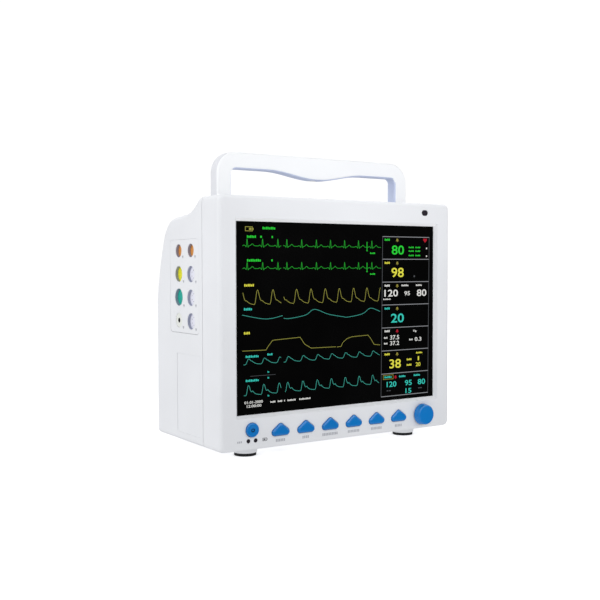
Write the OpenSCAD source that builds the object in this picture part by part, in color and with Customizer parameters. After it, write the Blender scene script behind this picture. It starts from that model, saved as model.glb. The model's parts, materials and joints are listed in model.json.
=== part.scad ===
// Bedside patient monitor: a two-part moulded housing round a flat screen, with a fold-down carry handle,
// a row of keys and a push-and-turn knob under the screen, and a bank of sensor sockets on the left side.
// Millimetres. The origin lies on the table, midway across the width and the depth.
// +Z is up, the screen faces -Y, and +X is the right hand of someone who reads the screen.

/* [Screen] */
// Width of the picture
screen_w = 246; // [220:1:270]
// Height of the picture
screen_h = 184.5; // [165:0.5:205]
// Black border round the picture
screen_border = 2; // [1:0.5:4]
// Depth of the window behind the front
window_recess = 4; // [3:0.5:5]
// Width of the sloped strip round the window
bezel_chamfer = 3; // [1:0.5:4]
// Thickness of the clear window
window_t = 2; // [1:0.5:3]
// How far the window reaches behind the bezel
window_lap = 3; // [2:0.5:4]
// Wall of the seat round the window
seat_wall = 3; // [2:0.5:3]
// Thickness of the foam gasket behind the window
gasket_t = 1; // [0.5:0.5:2]
// Thickness of the display
lcd_t = 9; // [7:0.5:10]
// Frame of the display beside the picture
lcd_border_x = 15; // [12:0.5:16]
// Frame of the display above and below the picture
lcd_border_z = 12; // [10:0.5:13]
// Sheet thickness of the bracket
bracket_t = 1.2; // [0.8:0.2:2]
// Width of the strips of the bracket
bracket_band = 14; // [10:1:16]
// Width of the backlight
backlight_w = 124; // [110:1:140]
// Height of the backlight
backlight_h = 18; // [16:0.5:20]
// Spacing of the studs of the backlight
backlight_studs = 100; // [90:1:106]
// Spacing of the two coils on that board
coil_pitch = 40; // [30:1:50]
// Width of a coil
coil_w = 22; // [16:0.5:26]
// Height of a coil
coil_h = 12; // [8:0.5:14]
// Thickness of a coil
coil_t = 7; // [5:0.5:7.5]

/* [Housing] */
// Housing beside the picture
bezel_side = 23; // [22:0.5:32]
// Housing above the picture
bezel_top = 27; // [26:0.5:34]
// Housing below the picture, which holds the keys
bezel_bottom = 36.5; // [35:0.5:44]
// Depth from the front face to the rear wall
body_d = 147; // [144:1:170]
// Depth of the front housing, up to the seam
seam_d = 34.5; // [33:0.5:36]
// Width of the groove between the housings
seam_gap = 0.6; // [0.3:0.1:1]
// Thickness of the moulded walls
wall = 3; // [2.5:0.5:3.5]
// Radius of the corners in front view
corner_r = 6; // [5:0.5:9]
// Radius of the edge round the front face
edge_r = 5; // [3:0.5:5]
// Radius of the upright edges at the rear
rear_edge_r = 10; // [7:1:16]
// Thickness of the tongue at the seam
tongue_t = 1.5; // [1:0.5:2]
// Length of that tongue past the seam
tongue_l = 4; // [3:0.5:6]
// Clearance between fixed pieces
fit_gap = 0.15; // [0.1:0.05:0.25]

/* [Rear profile] */
// Where the top starts to fall, behind the front
crest_d = 38; // [37:0.5:40]
// Radius of the crest
crest_r = 13; // [10:0.5:15]
// Steepest slope of the step behind the crest, degrees
step_slope = 40; // [36:1:44]
// Height of the step from the top to the deck
step_drop = 15.5; // [15:0.5:18]
// Radius of the hollow at the foot of the step
valley_r = 47; // [40:1:48]
// Slope of the deck, degrees
deck_slope = 5; // [3:0.5:7]
// Radius of the shoulder behind the deck
shoulder_r = 30; // [24:1:34]
// Slope at the end of the shoulder, degrees
back_slope = 67; // [64:0.5:70]
// Radius of the back
back_r = 280; // [240:5:300]
// Radius of the lower rear edge
heel_r = 8; // [5:0.5:12]

/* [Handle] */
// Side of the housing to the handle
handle_inset = 23.2; // [20:0.2:30]
// Width of a handle leg in front view
leg_w = 17; // [14:0.5:18]
// Thickness of the handle bar in front view
bar_t = 15; // [12:0.5:16]
// Depth of the handle front to back
handle_d = 15.3; // [13:0.1:15.5]
// Height of the handle above its pivot
handle_rise = 55; // [48:0.5:62]
// Outer corner radius of the handle
handle_r = 22; // [18.5:0.5:28]
// Radius of the handle's long edges
handle_edge = 3; // [1.5:0.5:4]
// How far the grip swells below the bar
grip_swell = 7.5; // [3:0.5:8]
// Half the length of that swelling
grip_half = 62; // [40:1:70]
// Pivot behind the front
pivot_d = 54.5; // [54:0.5:57]
// Pivot below the top of the housing
pivot_drop = 7.5; // [7:0.5:8.5]
// Radius of the pivot pins
pin_r = 3; // [2:0.5:3.5]
// Clearance of the handle on its pins, on the radius
pin_gap = 0.05; // [0.02:0.01:0.1]
// Clearance round the handle in its pockets
pocket_gap = 0.8; // [0.5:0.1:1]
// Thickness of a hinge ear
ear_t = 12; // [8:0.5:16]
// Radius of a hinge ear
ear_r = 7; // [5:0.5:7]
// Foot of a hinge ear below the pivot
ear_drop = 12; // [9:0.5:14]
// Length of the pockets behind the pivot
pocket_l = 27.5; // [20:0.5:32]
// Wall under the pockets
pocket_wall = 2; // [1.5:0.5:3]
// Outer radius of a friction washer
washer_r = 6; // [4.5:0.5:6.5]
// Play of a washer to either side
washer_play = 0.1; // [0.05:0.05:0.2]
// How far a pin stops short of the outer face of a leg
pin_short = 1; // [0.5:0.5:3]

/* [Keys and knob] */
// Power button from the left side
power_inset = 35.5; // [32:0.5:40]
// Power button above the bottom
power_up = 20.3; // [20:0.1:22]
// Radius of the power button
power_r = 6.9; // [6:0.1:7.5]
// Knob from the right side
knob_inset = 40.5; // [38:0.5:46]
// Knob above the bottom
knob_up = 16.5; // [16.5:0.1:19]
// Radius of the knob at its foot
knob_r = 11.7; // [10:0.1:13]
// Radius of the knob at its face
knob_face_r = 10.8; // [9:0.1:12]
// Length of the knob
knob_h = 7.5; // [6:0.5:14]
// Gap behind the knob at rest
knob_gap = 1.4; // [1.2:0.1:2]
// Travel of the knob when it is pressed
knob_travel = 0.8; // [0.4:0.1:1]
// Radius of the knob's front edge
knob_edge = 2; // [1:0.5:3]
// Thickness of the knob in front of the shaft
knob_face_t = 2.5; // [2:0.1:3]
// Radius of the encoder shaft
shaft_r = 3; // [2:0.5:3]
// Gap round the shaft in the front wall
shaft_hole_gap = 1; // [0.5:0.1:2]
// Count of keys
key_count = 6; // [5:1:6]
// First key to the power button, and from the last key to the knob
key_end = 32.75; // [30:0.25:36]
// Width of a key
key_w = 21.4; // [18:0.2:22]
// Height of a key
key_h = 12.2; // [10:0.2:13]
// Corner radius of a key
key_r = 2.8; // [2:0.1:3.5]
// Lower edge of the keys above the bottom
key_up = 11.6; // [11.5:0.1:13.5]
// How far keys stand out of the front face
key_proud = 2.6; // [1.5:0.1:3.5]
// Radius of a key's front edge
key_edge = 1.2; // [0.8:0.1:1.8]
// Travel of the keys
key_travel = 1; // [0.5:0.1:1.2]
// Clearance round a key in its hole
key_gap = 0.35; // [0.3:0.05:0.5]
// Rim of a key behind the front wall
key_rim = 1.2; // [0.8:0.1:1.5]
// Thickness of that rim
rim_t = 1.2; // [0.8:0.1:1.5]
// Gap between that rim and the wall at rest
rim_gap = 0.2; // [0.1:0.05:0.3]
// Stem of a key above its lower edge
stem_up = 5.1; // [4.5:0.1:5.5]
// Radius of a key's stem
stem_r = 2.2; // [1.5:0.1:2.5]
// Play between stem and switch after the travel
switch_play = 0.2; // [0.1:0.05:0.4]
// Height of a tact switch with its button
switch_h = 3.6; // [3:0.1:4]
// Width of a tact switch
switch_w = 6; // [5:0.2:7]
// Radius of a tact switch's button
switch_r = 1.7; // [1.2:0.1:2]
// Height of that button
switch_button = 1; // [0.8:0.1:1.2]
// Radius of the hollow in the power button's face
dish_r = 12; // [10:0.5:20]
// Depth of that hollow
dish_depth = 0.8; // [0.4:0.1:1]
// Radius of a status light
lamp_r = 2; // [1.2:0.1:2.5]
// Status lights to either side of the power button
lamp_side = 4.1; // [3.5:0.1:6]
// Status lights below the power button
lamp_drop = 10.7; // [10:0.1:11.5]
// How far the lights lie behind the front
lamp_sink = 0.2; // [0.1:0.1:0.5]
// Rim of a status light behind the wall
lamp_rim = 0.8; // [0.5:0.1:1.2]
// Rim of the alarm light behind the wall
alarm_rim = 1.5; // [1:0.1:2]
// Thickness of those rims
lamp_rim_t = 2; // [1:0.2:3]
// Width of the alarm light
alarm_w = 8.4; // [7:0.2:12]
// Height of the alarm light
alarm_h = 6; // [4:0.2:7]
// Alarm light from the right side
alarm_inset = 36.5; // [32:0.5:42]
// Alarm light below the top
alarm_drop = 10.6; // [10:0.1:12]

/* [Sensor sockets] */
// Front edge of the panel behind the front
panel_front = 42; // [42:0.5:46]
// Length of the panel front to back
panel_l = 65; // [62:1:70]
// Height of the panel
panel_h = 95; // [92:1:104]
// Corner radius of the panel
panel_r = 5; // [3:0.5:8]
// Middle of the panel above the middle of the screen
panel_up = 30.5; // [20:0.5:34]
// Rim of the panel behind the side wall
panel_rim = 2; // [1.5:0.5:3]
// Thickness of that rim
panel_rim_t = 1.5; // [1:0.5:2]
// Depth of the sockets below the panel's face
socket_recess = 3.2; // [2.4:0.1:3.6]
// Spacing of the two columns of sockets
socket_cols = 27.6; // [25:0.2:30]
// Middle of the sockets in front of the panel's middle
columns_shift = 1.2; // [0:0.1:2]
// Spacing of the rows of sockets
socket_rows = 23.7; // [22:0.1:25]
// Top row above the panel's middle
top_row_up = 36.2; // [35:0.1:37]
// Rim of a socket behind the panel's face
socket_rim = 1.6; // [1.2:0.1:2]
// Thickness of that rim
socket_rim_t = 3; // [2:0.5:4]
// Step of a socket behind its rim
socket_neck = 0.5; // [0.3:0.1:1]
// Length of a socket behind the panel
socket_l = 14; // [10:1:18]
// Radius of the two temperature sockets
temperature_r = 6.8; // [5:0.1:7.5]
// Radius of the oximeter socket
oximeter_r = 8.1; // [6:0.1:8.5]
// Radius of the heart-lead socket
ecg_r = 8.9; // [7:0.1:9]
// Radius of the three pressure sockets
pressure_r = 8.2; // [6:0.1:8.5]
// Radius of the cuff port's boss
cuff_r = 7.4; // [6:0.1:8.5]
// Radius of the cuff port's bore
cuff_bore = 2.5; // [2:0.1:3]
// Depth of the cuff port's bore
cuff_depth = 12; // [8:1:13]
// How far the cuff port lies behind the panel's face
cuff_sink = 0.3; // [0.1:0.1:0.6]
// Step of the cuff port behind its rim
cuff_neck = 1; // [0.5:0.1:1.5]
// Parameter board past the outer sockets
parameter_margin = 12; // [10:0.5:14]
// Thickness of the shield on its board
shield_t = 6; // [4:0.5:8]
// Distance of that shield from the board's edges
shield_margin = 7; // [5:0.5:10]
// Length of the label field on the left side
label_l = 51; // [30:1:51]
// Height of the label field
label_h = 81; // [50:1:82]
// Depth of the label field in the wall
label_sink = 0.4; // [0.2:0.1:0.8]
// Lower edge of the label field above the bottom
label_up = 9.5; // [8.5:0.5:12]

/* [Rear connectors] */
// Middle of the bay left of the middle
bay_left = 62; // [56:1:64]
// Middle of the bay above the bottom
bay_up = 75; // [74:1:76]
// Width of the bay
bay_w = 100; // [96:1:106]
// Height of the bay
bay_h = 46; // [42:1:50]
// Depth of the bay
bay_sink = 16; // [14:1:18]
// Wall round the bay
bay_wall = 2.5; // [2:0.5:3]
// How far that wall stays behind the face of the rear wall
bay_step = 0.6; // [0.4:0.1:1]
// Width of the snaps that hold the bay
snap_w = 12; // [8:1:16]
// Height of those snaps
snap_h = 2; // [1.5:0.1:2.5]
// Thickness of those snaps
snap_t = 3; // [2:0.5:4]
// Thickness of the connector plate
plate_t = 1.5; // [1:0.5:2]
// Width of the mains inlet's flange
inlet_w = 32; // [30:0.5:34]
// Height of the mains inlet's flange
inlet_h = 25; // [24:0.5:28]
// Thickness of that flange
inlet_flange = 2.5; // [2:0.5:3]
// Distance of the inlet from the end of the bay, and of the fuses from the inlet
connector_gap = 4; // [3:0.5:5]
// Wall round the inlet's mouth
inlet_wall = 1.5; // [1:0.1:2]
// Floor of the inlet's mouth
inlet_floor = 2; // [1:0.5:3]
// Width of the mains inlet's mouth
mouth_w = 24; // [22:0.5:25]
// Height of the mains inlet's mouth
mouth_h = 16.5; // [15:0.5:17]
// Depth of the mains inlet's mouth
mouth_depth = 16; // [14:0.5:18]
// Upper corners cut off that mouth
mouth_cut = 4; // [3:0.5:5]
// Spacing of the outer contact blades
blade_pitch = 14; // [12:0.5:15]
// Thickness of a contact blade
blade_t = 2; // [1.5:0.5:2.5]
// Width of a contact blade
blade_w = 4; // [3:0.5:5]
// Middle blade above the outer two
blade_step = 5; // [4:0.5:6]
// How far the blades stay inside the mouth
blade_short = 5; // [3:0.5:7]
// Radius of a fuse cap
fuse_r = 6.5; // [5:0.5:7]
// Height of a fuse cap
fuse_cap_t = 5; // [4:0.5:6]
// Spacing of the two fuse caps
fuse_pitch = 18; // [16:0.5:20]
// Width of the coin slot in a fuse cap
coin_slot_w = 1.6; // [1:0.1:2]
// Depth of that slot
coin_slot_depth = 1; // [0.5:0.1:1.5]
// Radius of a fuse holder behind the plate
holder_r = 5; // [4:0.1:5.2]
// Length of a fuse holder behind the plate
holder_l = 18; // [14:0.5:20]
// Fuses to the ground pin
ground_pitch = 22; // [18:0.5:24]
// Radius of the ground pin
ground_r = 3; // [2.5:0.5:3]
// Length of the ground pin's free end
ground_l = 11; // [8:0.5:12]
// Length of the ground pin behind the plate
ground_tail = 6; // [4:0.5:8]
// Corner radius of the ground pin's nut
nut_r = 5.5; // [5:0.1:6]
// Thickness of that nut
nut_t = 3; // [2:0.5:4]
// Grounding pin to the network port
port_pitch = 20; // [18:0.5:22]
// Width of the network port's mouth
port_w = 11.8; // [11:0.2:12.6]
// Height of the network port's mouth
port_h = 8.4; // [7:0.2:9]
// Depth of the network port's mouth
port_depth = 13; // [10:1:15]
// Wall beside the network port's mouth
port_wall = 2.1; // [1.5:0.1:2.5]
// Wall above and below the network port's mouth
port_wall_z = 2.8; // [2:0.1:3]
// Floor of the network port's mouth
port_floor = 3; // [2:0.5:4]
// Flange of the network port in front of the plate
port_flange = 1.5; // [1:0.5:2]
// Thickness of that flange
port_flange_t = 1; // [0.5:0.1:1.5]

/* [Inside] */
// Thickness of the circuit boards
board_t = 1.6; // [1:0.2:2]
// Front face of the key board behind the front
keyboard_d = 12.5; // [11.5:0.5:13.5]
// Height of the key board
keyboard_h = 19; // [17:0.5:20]
// Key board above the bottom wall's inner face
keyboard_gap = 1; // [0.5:0.1:1.5]
// Key board past the power button and past the knob
keyboard_end = 15; // [12:0.5:16]
// Radius of the posts of the key board
keyboard_post_r = 2.2; // [1.8:0.1:2.5]
// Those posts above the lower edge of the board
keyboard_post_up = 3; // [2.5:0.1:3.5]
// Outer posts from the ends of the board
keyboard_post_in = 5; // [4:0.5:7]
// Width of the encoder
encoder_w = 12.5; // [11:0.5:13]
// Wall at the back of the encoder
encoder_back = 0.6; // [0.4:0.1:0.8]
// Room for the spring behind the plunger
spring_room = 1.9; // [1.5:0.1:2.5]
// Thickness of the plunger
plunger_t = 1.2; // [0.8:0.1:1.5]
// How much wider the plunger is than the shaft
plunger_lip = 1; // [0.5:0.1:1.5]
// How far the shaft reaches into the encoder
shaft_sink = 1; // [0.5:0.1:1.5]
// Radius of the encoder's bushing
bushing_r = 4.5; // [4:0.1:5]
// Gap between the bushing and the front wall
bushing_gap = 0.3; // [0.2:0.1:0.6]
// Chassis plate behind the front
chassis_d = 46; // [44:0.5:46.5]
// Sheet thickness of the chassis
chassis_t = 1.2; // [1:0.2:2]
// Chassis shelf above the bottom
shelf_up = 35; // [34:0.5:38]
// Depth of the chassis shelf
shelf_l = 56; // [50:1:60]
// Distance of the chassis from both sides
chassis_inset = 26; // [24:1:30]
// Height of the upright chassis plate
chassis_h = 180; // [172:1:184]
// Width of the two windows in that plate
plate_window_w = 44; // [30:1:50]
// Height of those windows
plate_window_h = 38; // [24:1:44]
// Spacing of those windows
plate_window_pitch = 120; // [100:1:130]
// Those windows below the plate's upper edge
plate_window_drop = 14; // [10:1:20]
// Height of the main board
mainboard_h = 140; // [120:1:150]
// Width of the main board
mainboard_w = 200; // [180:1:210]
// Length of the studs of the boards
stud_l = 6; // [4:0.5:7]
// Radius of those studs
stud_r = 3; // [2:0.5:4]
// Studs of the main board from its edges
stud_in = 6; // [5:0.5:8]
// Main board above the shelf
mainboard_up = 10; // [8:0.5:14]
// Width of the processor on the main board
processor_w = 30; // [24:1:36]
// Thickness of the processor
processor_t = 3; // [2:0.5:4]
// Processor left of the board's middle
processor_left = 35; // [28:1:44]
// Width of a memory chip
memory_w = 24; // [18:1:28]
// Height of a memory chip
memory_h = 12; // [8:0.5:16]
// Thickness of a memory chip
memory_t = 2.5; // [1.5:0.5:3]
// Spacing of the two memory chips
memory_pitch = 30; // [24:1:36]
// Memory right of the board's middle
memory_right = 22; // [16:1:30]
// Length of the flat cable's connector on the main board
header_l = 90; // [70:1:100]
// Width of that connector
header_w = 6; // [5:0.5:8]
// Thickness of that connector
header_t = 5; // [4:0.5:6]
// That connector from the board's left edge
header_in = 10; // [8:0.5:14]
// Width of the supply
supply_w = 90; // [70:1:94]
// Height of the supply
supply_h = 36; // [28:1:40]
// Power supply from the end of the shelf
supply_side = 14; // [10:0.5:18]
// Gap between the chassis plate and the supply
supply_gap = 6; // [4:0.5:10]
// Gap between the supply and the fuse holders
supply_rear_gap = 12; // [6:0.5:18]
// Count of slots in the top of the supply
supply_slots = 8; // [4:1:10]
// Width of those slots
supply_slot_w = 4; // [2:0.5:5]
// Depth of those slots
supply_slot_depth = 6; // [3:0.5:8]
// Those slots from the edges of the supply
supply_slot_in = 8; // [5:0.5:10]
// Cuff pump and valve behind the chassis plate
pump_back = 26; // [20:0.5:30]
// Cuff pump right of the middle
pump_right = 12; // [8:0.5:16]
// Radius of the pump's motor
motor_r = 12; // [10:0.5:13]
// Length of the pump's motor
motor_l = 38; // [30:1:42]
// Width of the pump's head
pump_w = 22; // [16:0.5:26]
// Length of the pump's head front to back
pump_l = 28; // [22:0.5:30]
// Height of the pump's head
pump_h = 30; // [26:0.5:34]
// Width of the cradle under the motor
cradle_l = 18; // [12:0.5:20]
// Height of that cradle
cradle_h = 8; // [6:0.5:10]
// Gap between the pump and the valve
valve_gap = 10; // [6:0.5:12]
// Width of the valve
valve_w = 20; // [14:0.5:22]
// Length of the valve front to back
valve_l = 18; // [14:0.5:22]
// Height of the valve
valve_h = 24; // [18:0.5:28]
// Radius of the hose nipples on the pump and the valve
nipple_r = 2.5; // [2:0.1:3]
// Length of those nipples
nipple_l = 8; // [6:0.5:10]
// Width of the battery
battery_w = 90; // [70:1:92]
// Length of the battery front to back
battery_l = 60; // [50:1:62]
// Thickness of the battery
battery_t = 26; // [20:0.5:26]
// Room round the battery in its tray
tray_room = 1; // [0.5:0.1:2]
// Wall of the battery tray
tray_wall = 2.5; // [2:0.5:3]
// Front wall of the tray, for the door screws
tray_front_wall = 8; // [7:0.5:10]
// Gap between the tray and the rear wall
tray_rear_gap = 14; // [12:0.5:18]
// How far the door laps over the tray's edge
door_lip = 2; // [1:0.5:2]
// Front edge of the door behind the front of the tray
door_front_gap = 1.5; // [1:0.5:2]
// Gap round the door
door_gap = 0.3; // [0.2:0.05:0.5]
// Radius of the loudspeaker
speaker_r = 25; // [20:0.5:26]
// Depth of the loudspeaker
speaker_t = 18; // [14:0.5:20]
// Thickness of the loudspeaker's rim
basket_t = 4; // [3:0.5:5]
// Depth of the loudspeaker's cone
cone_l = 8; // [6:0.5:9]
// Radius of the loudspeaker's magnet
magnet_r = 15; // [12:0.5:18]
// Loudspeaker right of the middle
speaker_right = 72; // [68:1:80]
// Loudspeaker above the bottom
speaker_up = 74; // [70:1:78]
// Spacing of the slots in front of the loudspeaker
slot_pitch = 6; // [5:0.5:7]
// Height of those slots
slot_h = 2.4; // [1.6:0.1:3]
// Count of those slots on either side of the middle one
slot_rows = 3; // [2:1:3]
// Those slots inside the edge of the loudspeaker
slot_margin = 5; // [3:0.5:8]
// Width of a louvre in the upper back
vent_w = 34; // [28:1:38]
// Height of a louvre
vent_h = 3; // [2:0.5:4]
// Spacing of louvres above each other
vent_pitch = 7.5; // [6:0.5:8]
// Count of louvres above each other
vent_rows = 6; // [4:1:6]
// Gap between the columns of louvres
vent_gap = 14; // [10:1:20]
// Lowest louvre above the middle
vent_up = 14; // [12:0.5:18]
// How far the louvres reach in from the rear
vent_reach = 40; // [34:1:44]

/* [Feet and brackets] */
// Height of the feet
foot_h = 9.5; // [7:0.5:14]
// Thickness of the rubber pads
pad_t = 3; // [2:0.5:4]
// Radius of the pads
pad_r = 11.2; // [9:0.1:12.5]
// Radius of a foot where it meets the housing
foot_r = 13.5; // [12:0.5:15]
// Lower edge of a foot past the pad
foot_step = 0.6; // [0.3:0.1:1]
// Feet from the sides of the housing
foot_inset = 44; // [40:0.5:50]
// Front feet behind the front
foot_front = 28.5; // [18:0.5:29]
// Rear feet in front of the rear wall
foot_rear = 24; // [18:0.5:30]
// Middle of the bracket holes behind the front
bracket_mid = 84.5; // [80:0.5:90]
// Bracket holes from left to right
bracket_x = 125; // [120:1:140]
// Bracket holes front to back
bracket_y = 50; // [40:1:52]
// Radius of the bracket holes
bracket_r = 1.65; // [1.5:0.05:2.2]
// Depth of the bracket holes
bracket_depth = 8; // [6:0.5:12]
// Bosses round the bracket holes, from the middle of a hole
bracket_boss = 5; // [4:0.5:6]

/* [Screws and posts] */
// Radius of the housing screws
screw_r = 2; // [1.5:0.1:2.2]
// Radius of the housing screws' heads
screw_head_r = 3.8; // [3:0.1:4]
// Thickness of those heads
screw_head_t = 2.4; // [1.5:0.1:2.5]
// Upper housing screws from the middle
top_screw_x = 73; // [70:0.5:76]
// Upper housing screws below the top
screw_drop = 9; // [8.5:0.5:10]
// Heads of the upper screws behind the seam
seat_back = 8; // [6:0.5:10]
// Radius of the bosses behind the seam
top_boss_r = 6; // [5:0.5:7]
// Length of those bosses
top_boss_l = 30; // [24:0.5:34]
// Radius of the bosses in front of the seam
front_boss_r = 4.2; // [3.5:0.1:4.5]
// Depth of the screw holes in those bosses
front_boss_l = 14; // [10:0.5:18]
// Gap between those bosses and the tongue
front_boss_gap = 2; // [1:0.5:3]
// Lower housing screws from the middle
low_screw_x = 61; // [58:0.5:64]
// Lower housing screws in front of the seam
low_screw_in = 8; // [7:0.5:9]
// Thickness of the lower screws' heads
low_head_t = 1.2; // [1:0.1:1.5]
// How far screw heads lie below the surface
head_sink = 0.2; // [0.1:0.1:0.4]
// Width of the tabs for the lower screws
tab_w = 14; // [10:0.5:16]
// Thickness of those tabs
tab_t = 8; // [6:0.5:10]
// Those tabs in front of the lower screws
tab_front = 6; // [5:0.5:8]
// Radius of the posts of the bracket
post_r = 3.5; // [3:0.1:4]
// Radius of the screw holes in those posts
post_hole_r = 1.25; // [1:0.05:1.5]
// Closed end of those holes behind the front wall
post_floor = 2; // [1:0.5:3]
// Upper posts below the top wall
post_top_gap = 1.5; // [1:0.1:2]
// Lower posts above the bottom
post_low_gap = 6; // [5:0.5:8]
// Lower posts from the side walls
post_side_gap = 2.5; // [2:0.5:3.5]
// Gap between the upper right post and the alarm light
post_alarm_gap = 0.8; // [0.5:0.1:1.5]
// Display bracket past the posts
bracket_margin = 1; // [0.5:0.1:1.5]
// Radius of the screw holes in the bracket
bracket_hole_r = 1.7; // [1.5:0.1:1.9]
// Length of the bracket screws below the bracket
bracket_screw_l = 8; // [6:0.5:10]
// Radius of the bracket screws' heads
bracket_head_r = 2.7; // [2.3:0.1:3]
// Thickness of those heads
bracket_head_t = 1.8; // [1.2:0.1:2]
// Radius of the door screws
door_screw_r = 1.25; // [1:0.05:1.4]
// Length of the door screws
door_screw_l = 8; // [6:0.5:9]
// Radius of the door screws' heads
door_head_r = 2.9; // [2.4:0.1:3]
// Thickness of those heads
door_head_t = 1.4; // [1:0.1:1.8]
// Door screws behind the front edge of the door
door_screw_in = 4; // [3.5:0.5:5]
// Door screws from the middle
door_screw_x = 24; // [18:0.5:30]
// Radius of the posts under the chassis shelf
shelf_post_r = 4; // [3:0.5:5]
// Those posts from the ends of the shelf
shelf_post_in = 14; // [10:0.5:18]
// Those posts from the front and rear edges of the shelf
shelf_post_end = 8; // [6:0.5:10]
// Gap on the radius where a screw bites, and where the knob grips its shaft
bite_gap = 0.03; // [0.02:0.01:0.05]

/* [Hidden] */
$fn = 96;
// How far a cut runs past the face it opens
cut = 1;

// Overall sizes and main levels
body_w = screen_w + 2 * bezel_side;
body_h = screen_h + bezel_top + bezel_bottom;
side_x = body_w / 2;
floor_z = foot_h;
top_z = floor_z + body_h;
body_z = floor_z + body_h / 2;
screen_z = floor_z + bezel_bottom + screen_h / 2;
inner_z = floor_z + wall;
knob_proud = knob_gap + knob_h;
front_y = (knob_proud - body_d) / 2;

// Layers behind the window
window_w = screen_w + 2 * screen_border;
window_h = screen_h + 2 * screen_border;
gasket_d = window_recess + window_t;
lcd_d = gasket_d + gasket_t;
bracket_d = lcd_d + lcd_t;
lcd_w = screen_w + 2 * lcd_border_x;
lcd_h = screen_h + 2 * lcd_border_z;
alarm_x = side_x - alarm_inset;
alarm_z = top_z - alarm_drop;
post_top_z = top_z - wall - post_r - post_top_gap;
post_low_z = inner_z + post_r + post_low_gap;
post_top_x = alarm_x + alarm_w / 2 + alarm_rim + post_alarm_gap + post_r;
post_low_x = side_x - wall - post_r - post_side_gap;
bracket_posts = [[-post_top_x, post_top_z], [post_top_x, post_top_z],
  [-post_low_x, post_low_z], [post_low_x, post_low_z]];
bracket_low = post_low_z - post_r - bracket_margin;
backlight_z = bracket_low + bracket_band;

// Rear profile: tangent arcs and straights from the seam over the crest and deck, and down the back.
// An angle is the fall of the surface: 0 runs level to the rear and 90 runs straight down.
function fall(a) = [cos(a), -sin(a)];
function outward(a) = [sin(a), cos(a)];
ramp_l = (step_drop - crest_r * (1 - cos(step_slope)) - valley_r * (cos(deck_slope) - cos(step_slope)))
  / sin(step_slope);
deck_l = (body_d - crest_d - crest_r * sin(step_slope) - ramp_l * cos(step_slope)
  - valley_r * (sin(step_slope) - sin(deck_slope)) - shoulder_r * (sin(back_slope) - sin(deck_slope))
  - back_r * (1 - sin(back_slope))) / cos(deck_slope);
crest_c = [crest_d, top_z - crest_r];
valley_c = crest_c + (crest_r + valley_r) * outward(step_slope) + ramp_l * fall(step_slope);
shoulder_c = valley_c - (valley_r + shoulder_r) * outward(deck_slope) + deck_l * fall(deck_slope);
back_c = shoulder_c + (shoulder_r - back_r) * outward(back_slope);
// Steps in each arc of the profile
crest_steps = 16;
valley_steps = 16;
shoulder_steps = 26;
back_steps = 18;
heel_steps = 10;
// Steps across the rounded edges of the rear housing
fillet_steps = 4;
function swell_arc(c, r, a, b, n) = [for (i = [0:n]) c + r * outward(a + (b - a) * i / n)];
function hollow_arc(c, r, a, b, n) = [for (i = [0:n]) c - r * outward(a + (b - a) * i / n)];

// Handle
handle_x = side_x - handle_inset;
leg_x = handle_x - leg_w / 2;
pivot_z = top_z - pivot_drop;
handle_top = pivot_z + handle_rise;
ear_x = handle_x - leg_w - pocket_gap - ear_t / 2;
pocket_floor = pivot_z - handle_d / 2 - pocket_gap;
pin_l = ear_t + pocket_gap + leg_w - pin_short;
section_steps = 5;
corner_steps = 10;
grip_steps = 20;

// Keys
power_x = power_inset - side_x;
knob_x = side_x - knob_inset;
power_z = floor_z + power_up;
knob_z = floor_z + knob_up;
key_z = floor_z + key_up;
key_pitch = (knob_x - power_x - 2 * key_end) / (key_count - 1);
function key_x(i) = power_x + key_end + (i - 1) * key_pitch;
stem_end = keyboard_d - switch_h - key_travel - switch_play;
key_mid = key_z + stem_up;
key_corners = [[key_r - key_w / 2, key_r], [key_w / 2 - key_r, key_r], [0, key_h - key_r]];
key_slope = atan2(key_h - 2 * key_r, key_w / 2 - key_r);
key_steps = 10;
keyboard_z = inner_z + keyboard_gap;
keyboard_w = knob_x - power_x + 2 * keyboard_end;
keyboard_x = (knob_x + power_x) / 2;
keyboard_outer = keyboard_w / 2 - keyboard_post_in;
keyboard_posts = [for (i = [-3, -1, 1, 3]) i * keyboard_outer / 3];
keyboard_post_z = keyboard_z + keyboard_post_up;
lamp_z = power_z - lamp_drop;

// Encoder under the knob
encoder_front = keyboard_d - encoder_back - spring_room - knob_travel - plunger_t - shaft_sink;
bushing_end = wall + bushing_gap;
shaft_end = encoder_front + shaft_sink;
plunger_front = shaft_end + pin_gap;
plunger_r = shaft_r + plunger_lip;
shaft_front = knob_face_t - knob_proud;

// Sensor sockets, named by row from the top and column from the front
panel_t = wall + panel_rim_t;
panel_d = panel_front + panel_l / 2;
panel_z = screen_z + panel_up;
function column_d(c) = panel_d - columns_shift + (c - 0.5) * socket_cols;
function row_z(r) = panel_z + top_row_up - r * socket_rows;
parameter_d = socket_recess + socket_rim_t + socket_l;
label_d = panel_front - 1;

// Rear connectors
bay_x = -bay_left;
bay_z = floor_z + bay_up;
bay_floor = body_d - bay_sink;
plate_d = bay_floor - plate_t;
bay_end = body_d - bay_step;
bay_outer_w = bay_w + 2 * bay_wall;
bay_outer_h = bay_h + 2 * bay_wall;
snap_d = body_d - wall - fit_gap - snap_t;
inlet_x = bay_x - bay_w / 2 + inlet_w / 2 + connector_gap;
fuse_x = inlet_x + inlet_w / 2 + fuse_r + connector_gap;
ground_x = fuse_x + ground_pitch;
port_x = ground_x + port_pitch;
port_body_w = port_w + 2 * port_wall;
port_body_h = port_h + 2 * port_wall_z;
inlet_body_w = mouth_w + 2 * inlet_wall;
inlet_body_h = mouth_h + 2 * inlet_wall;

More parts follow.
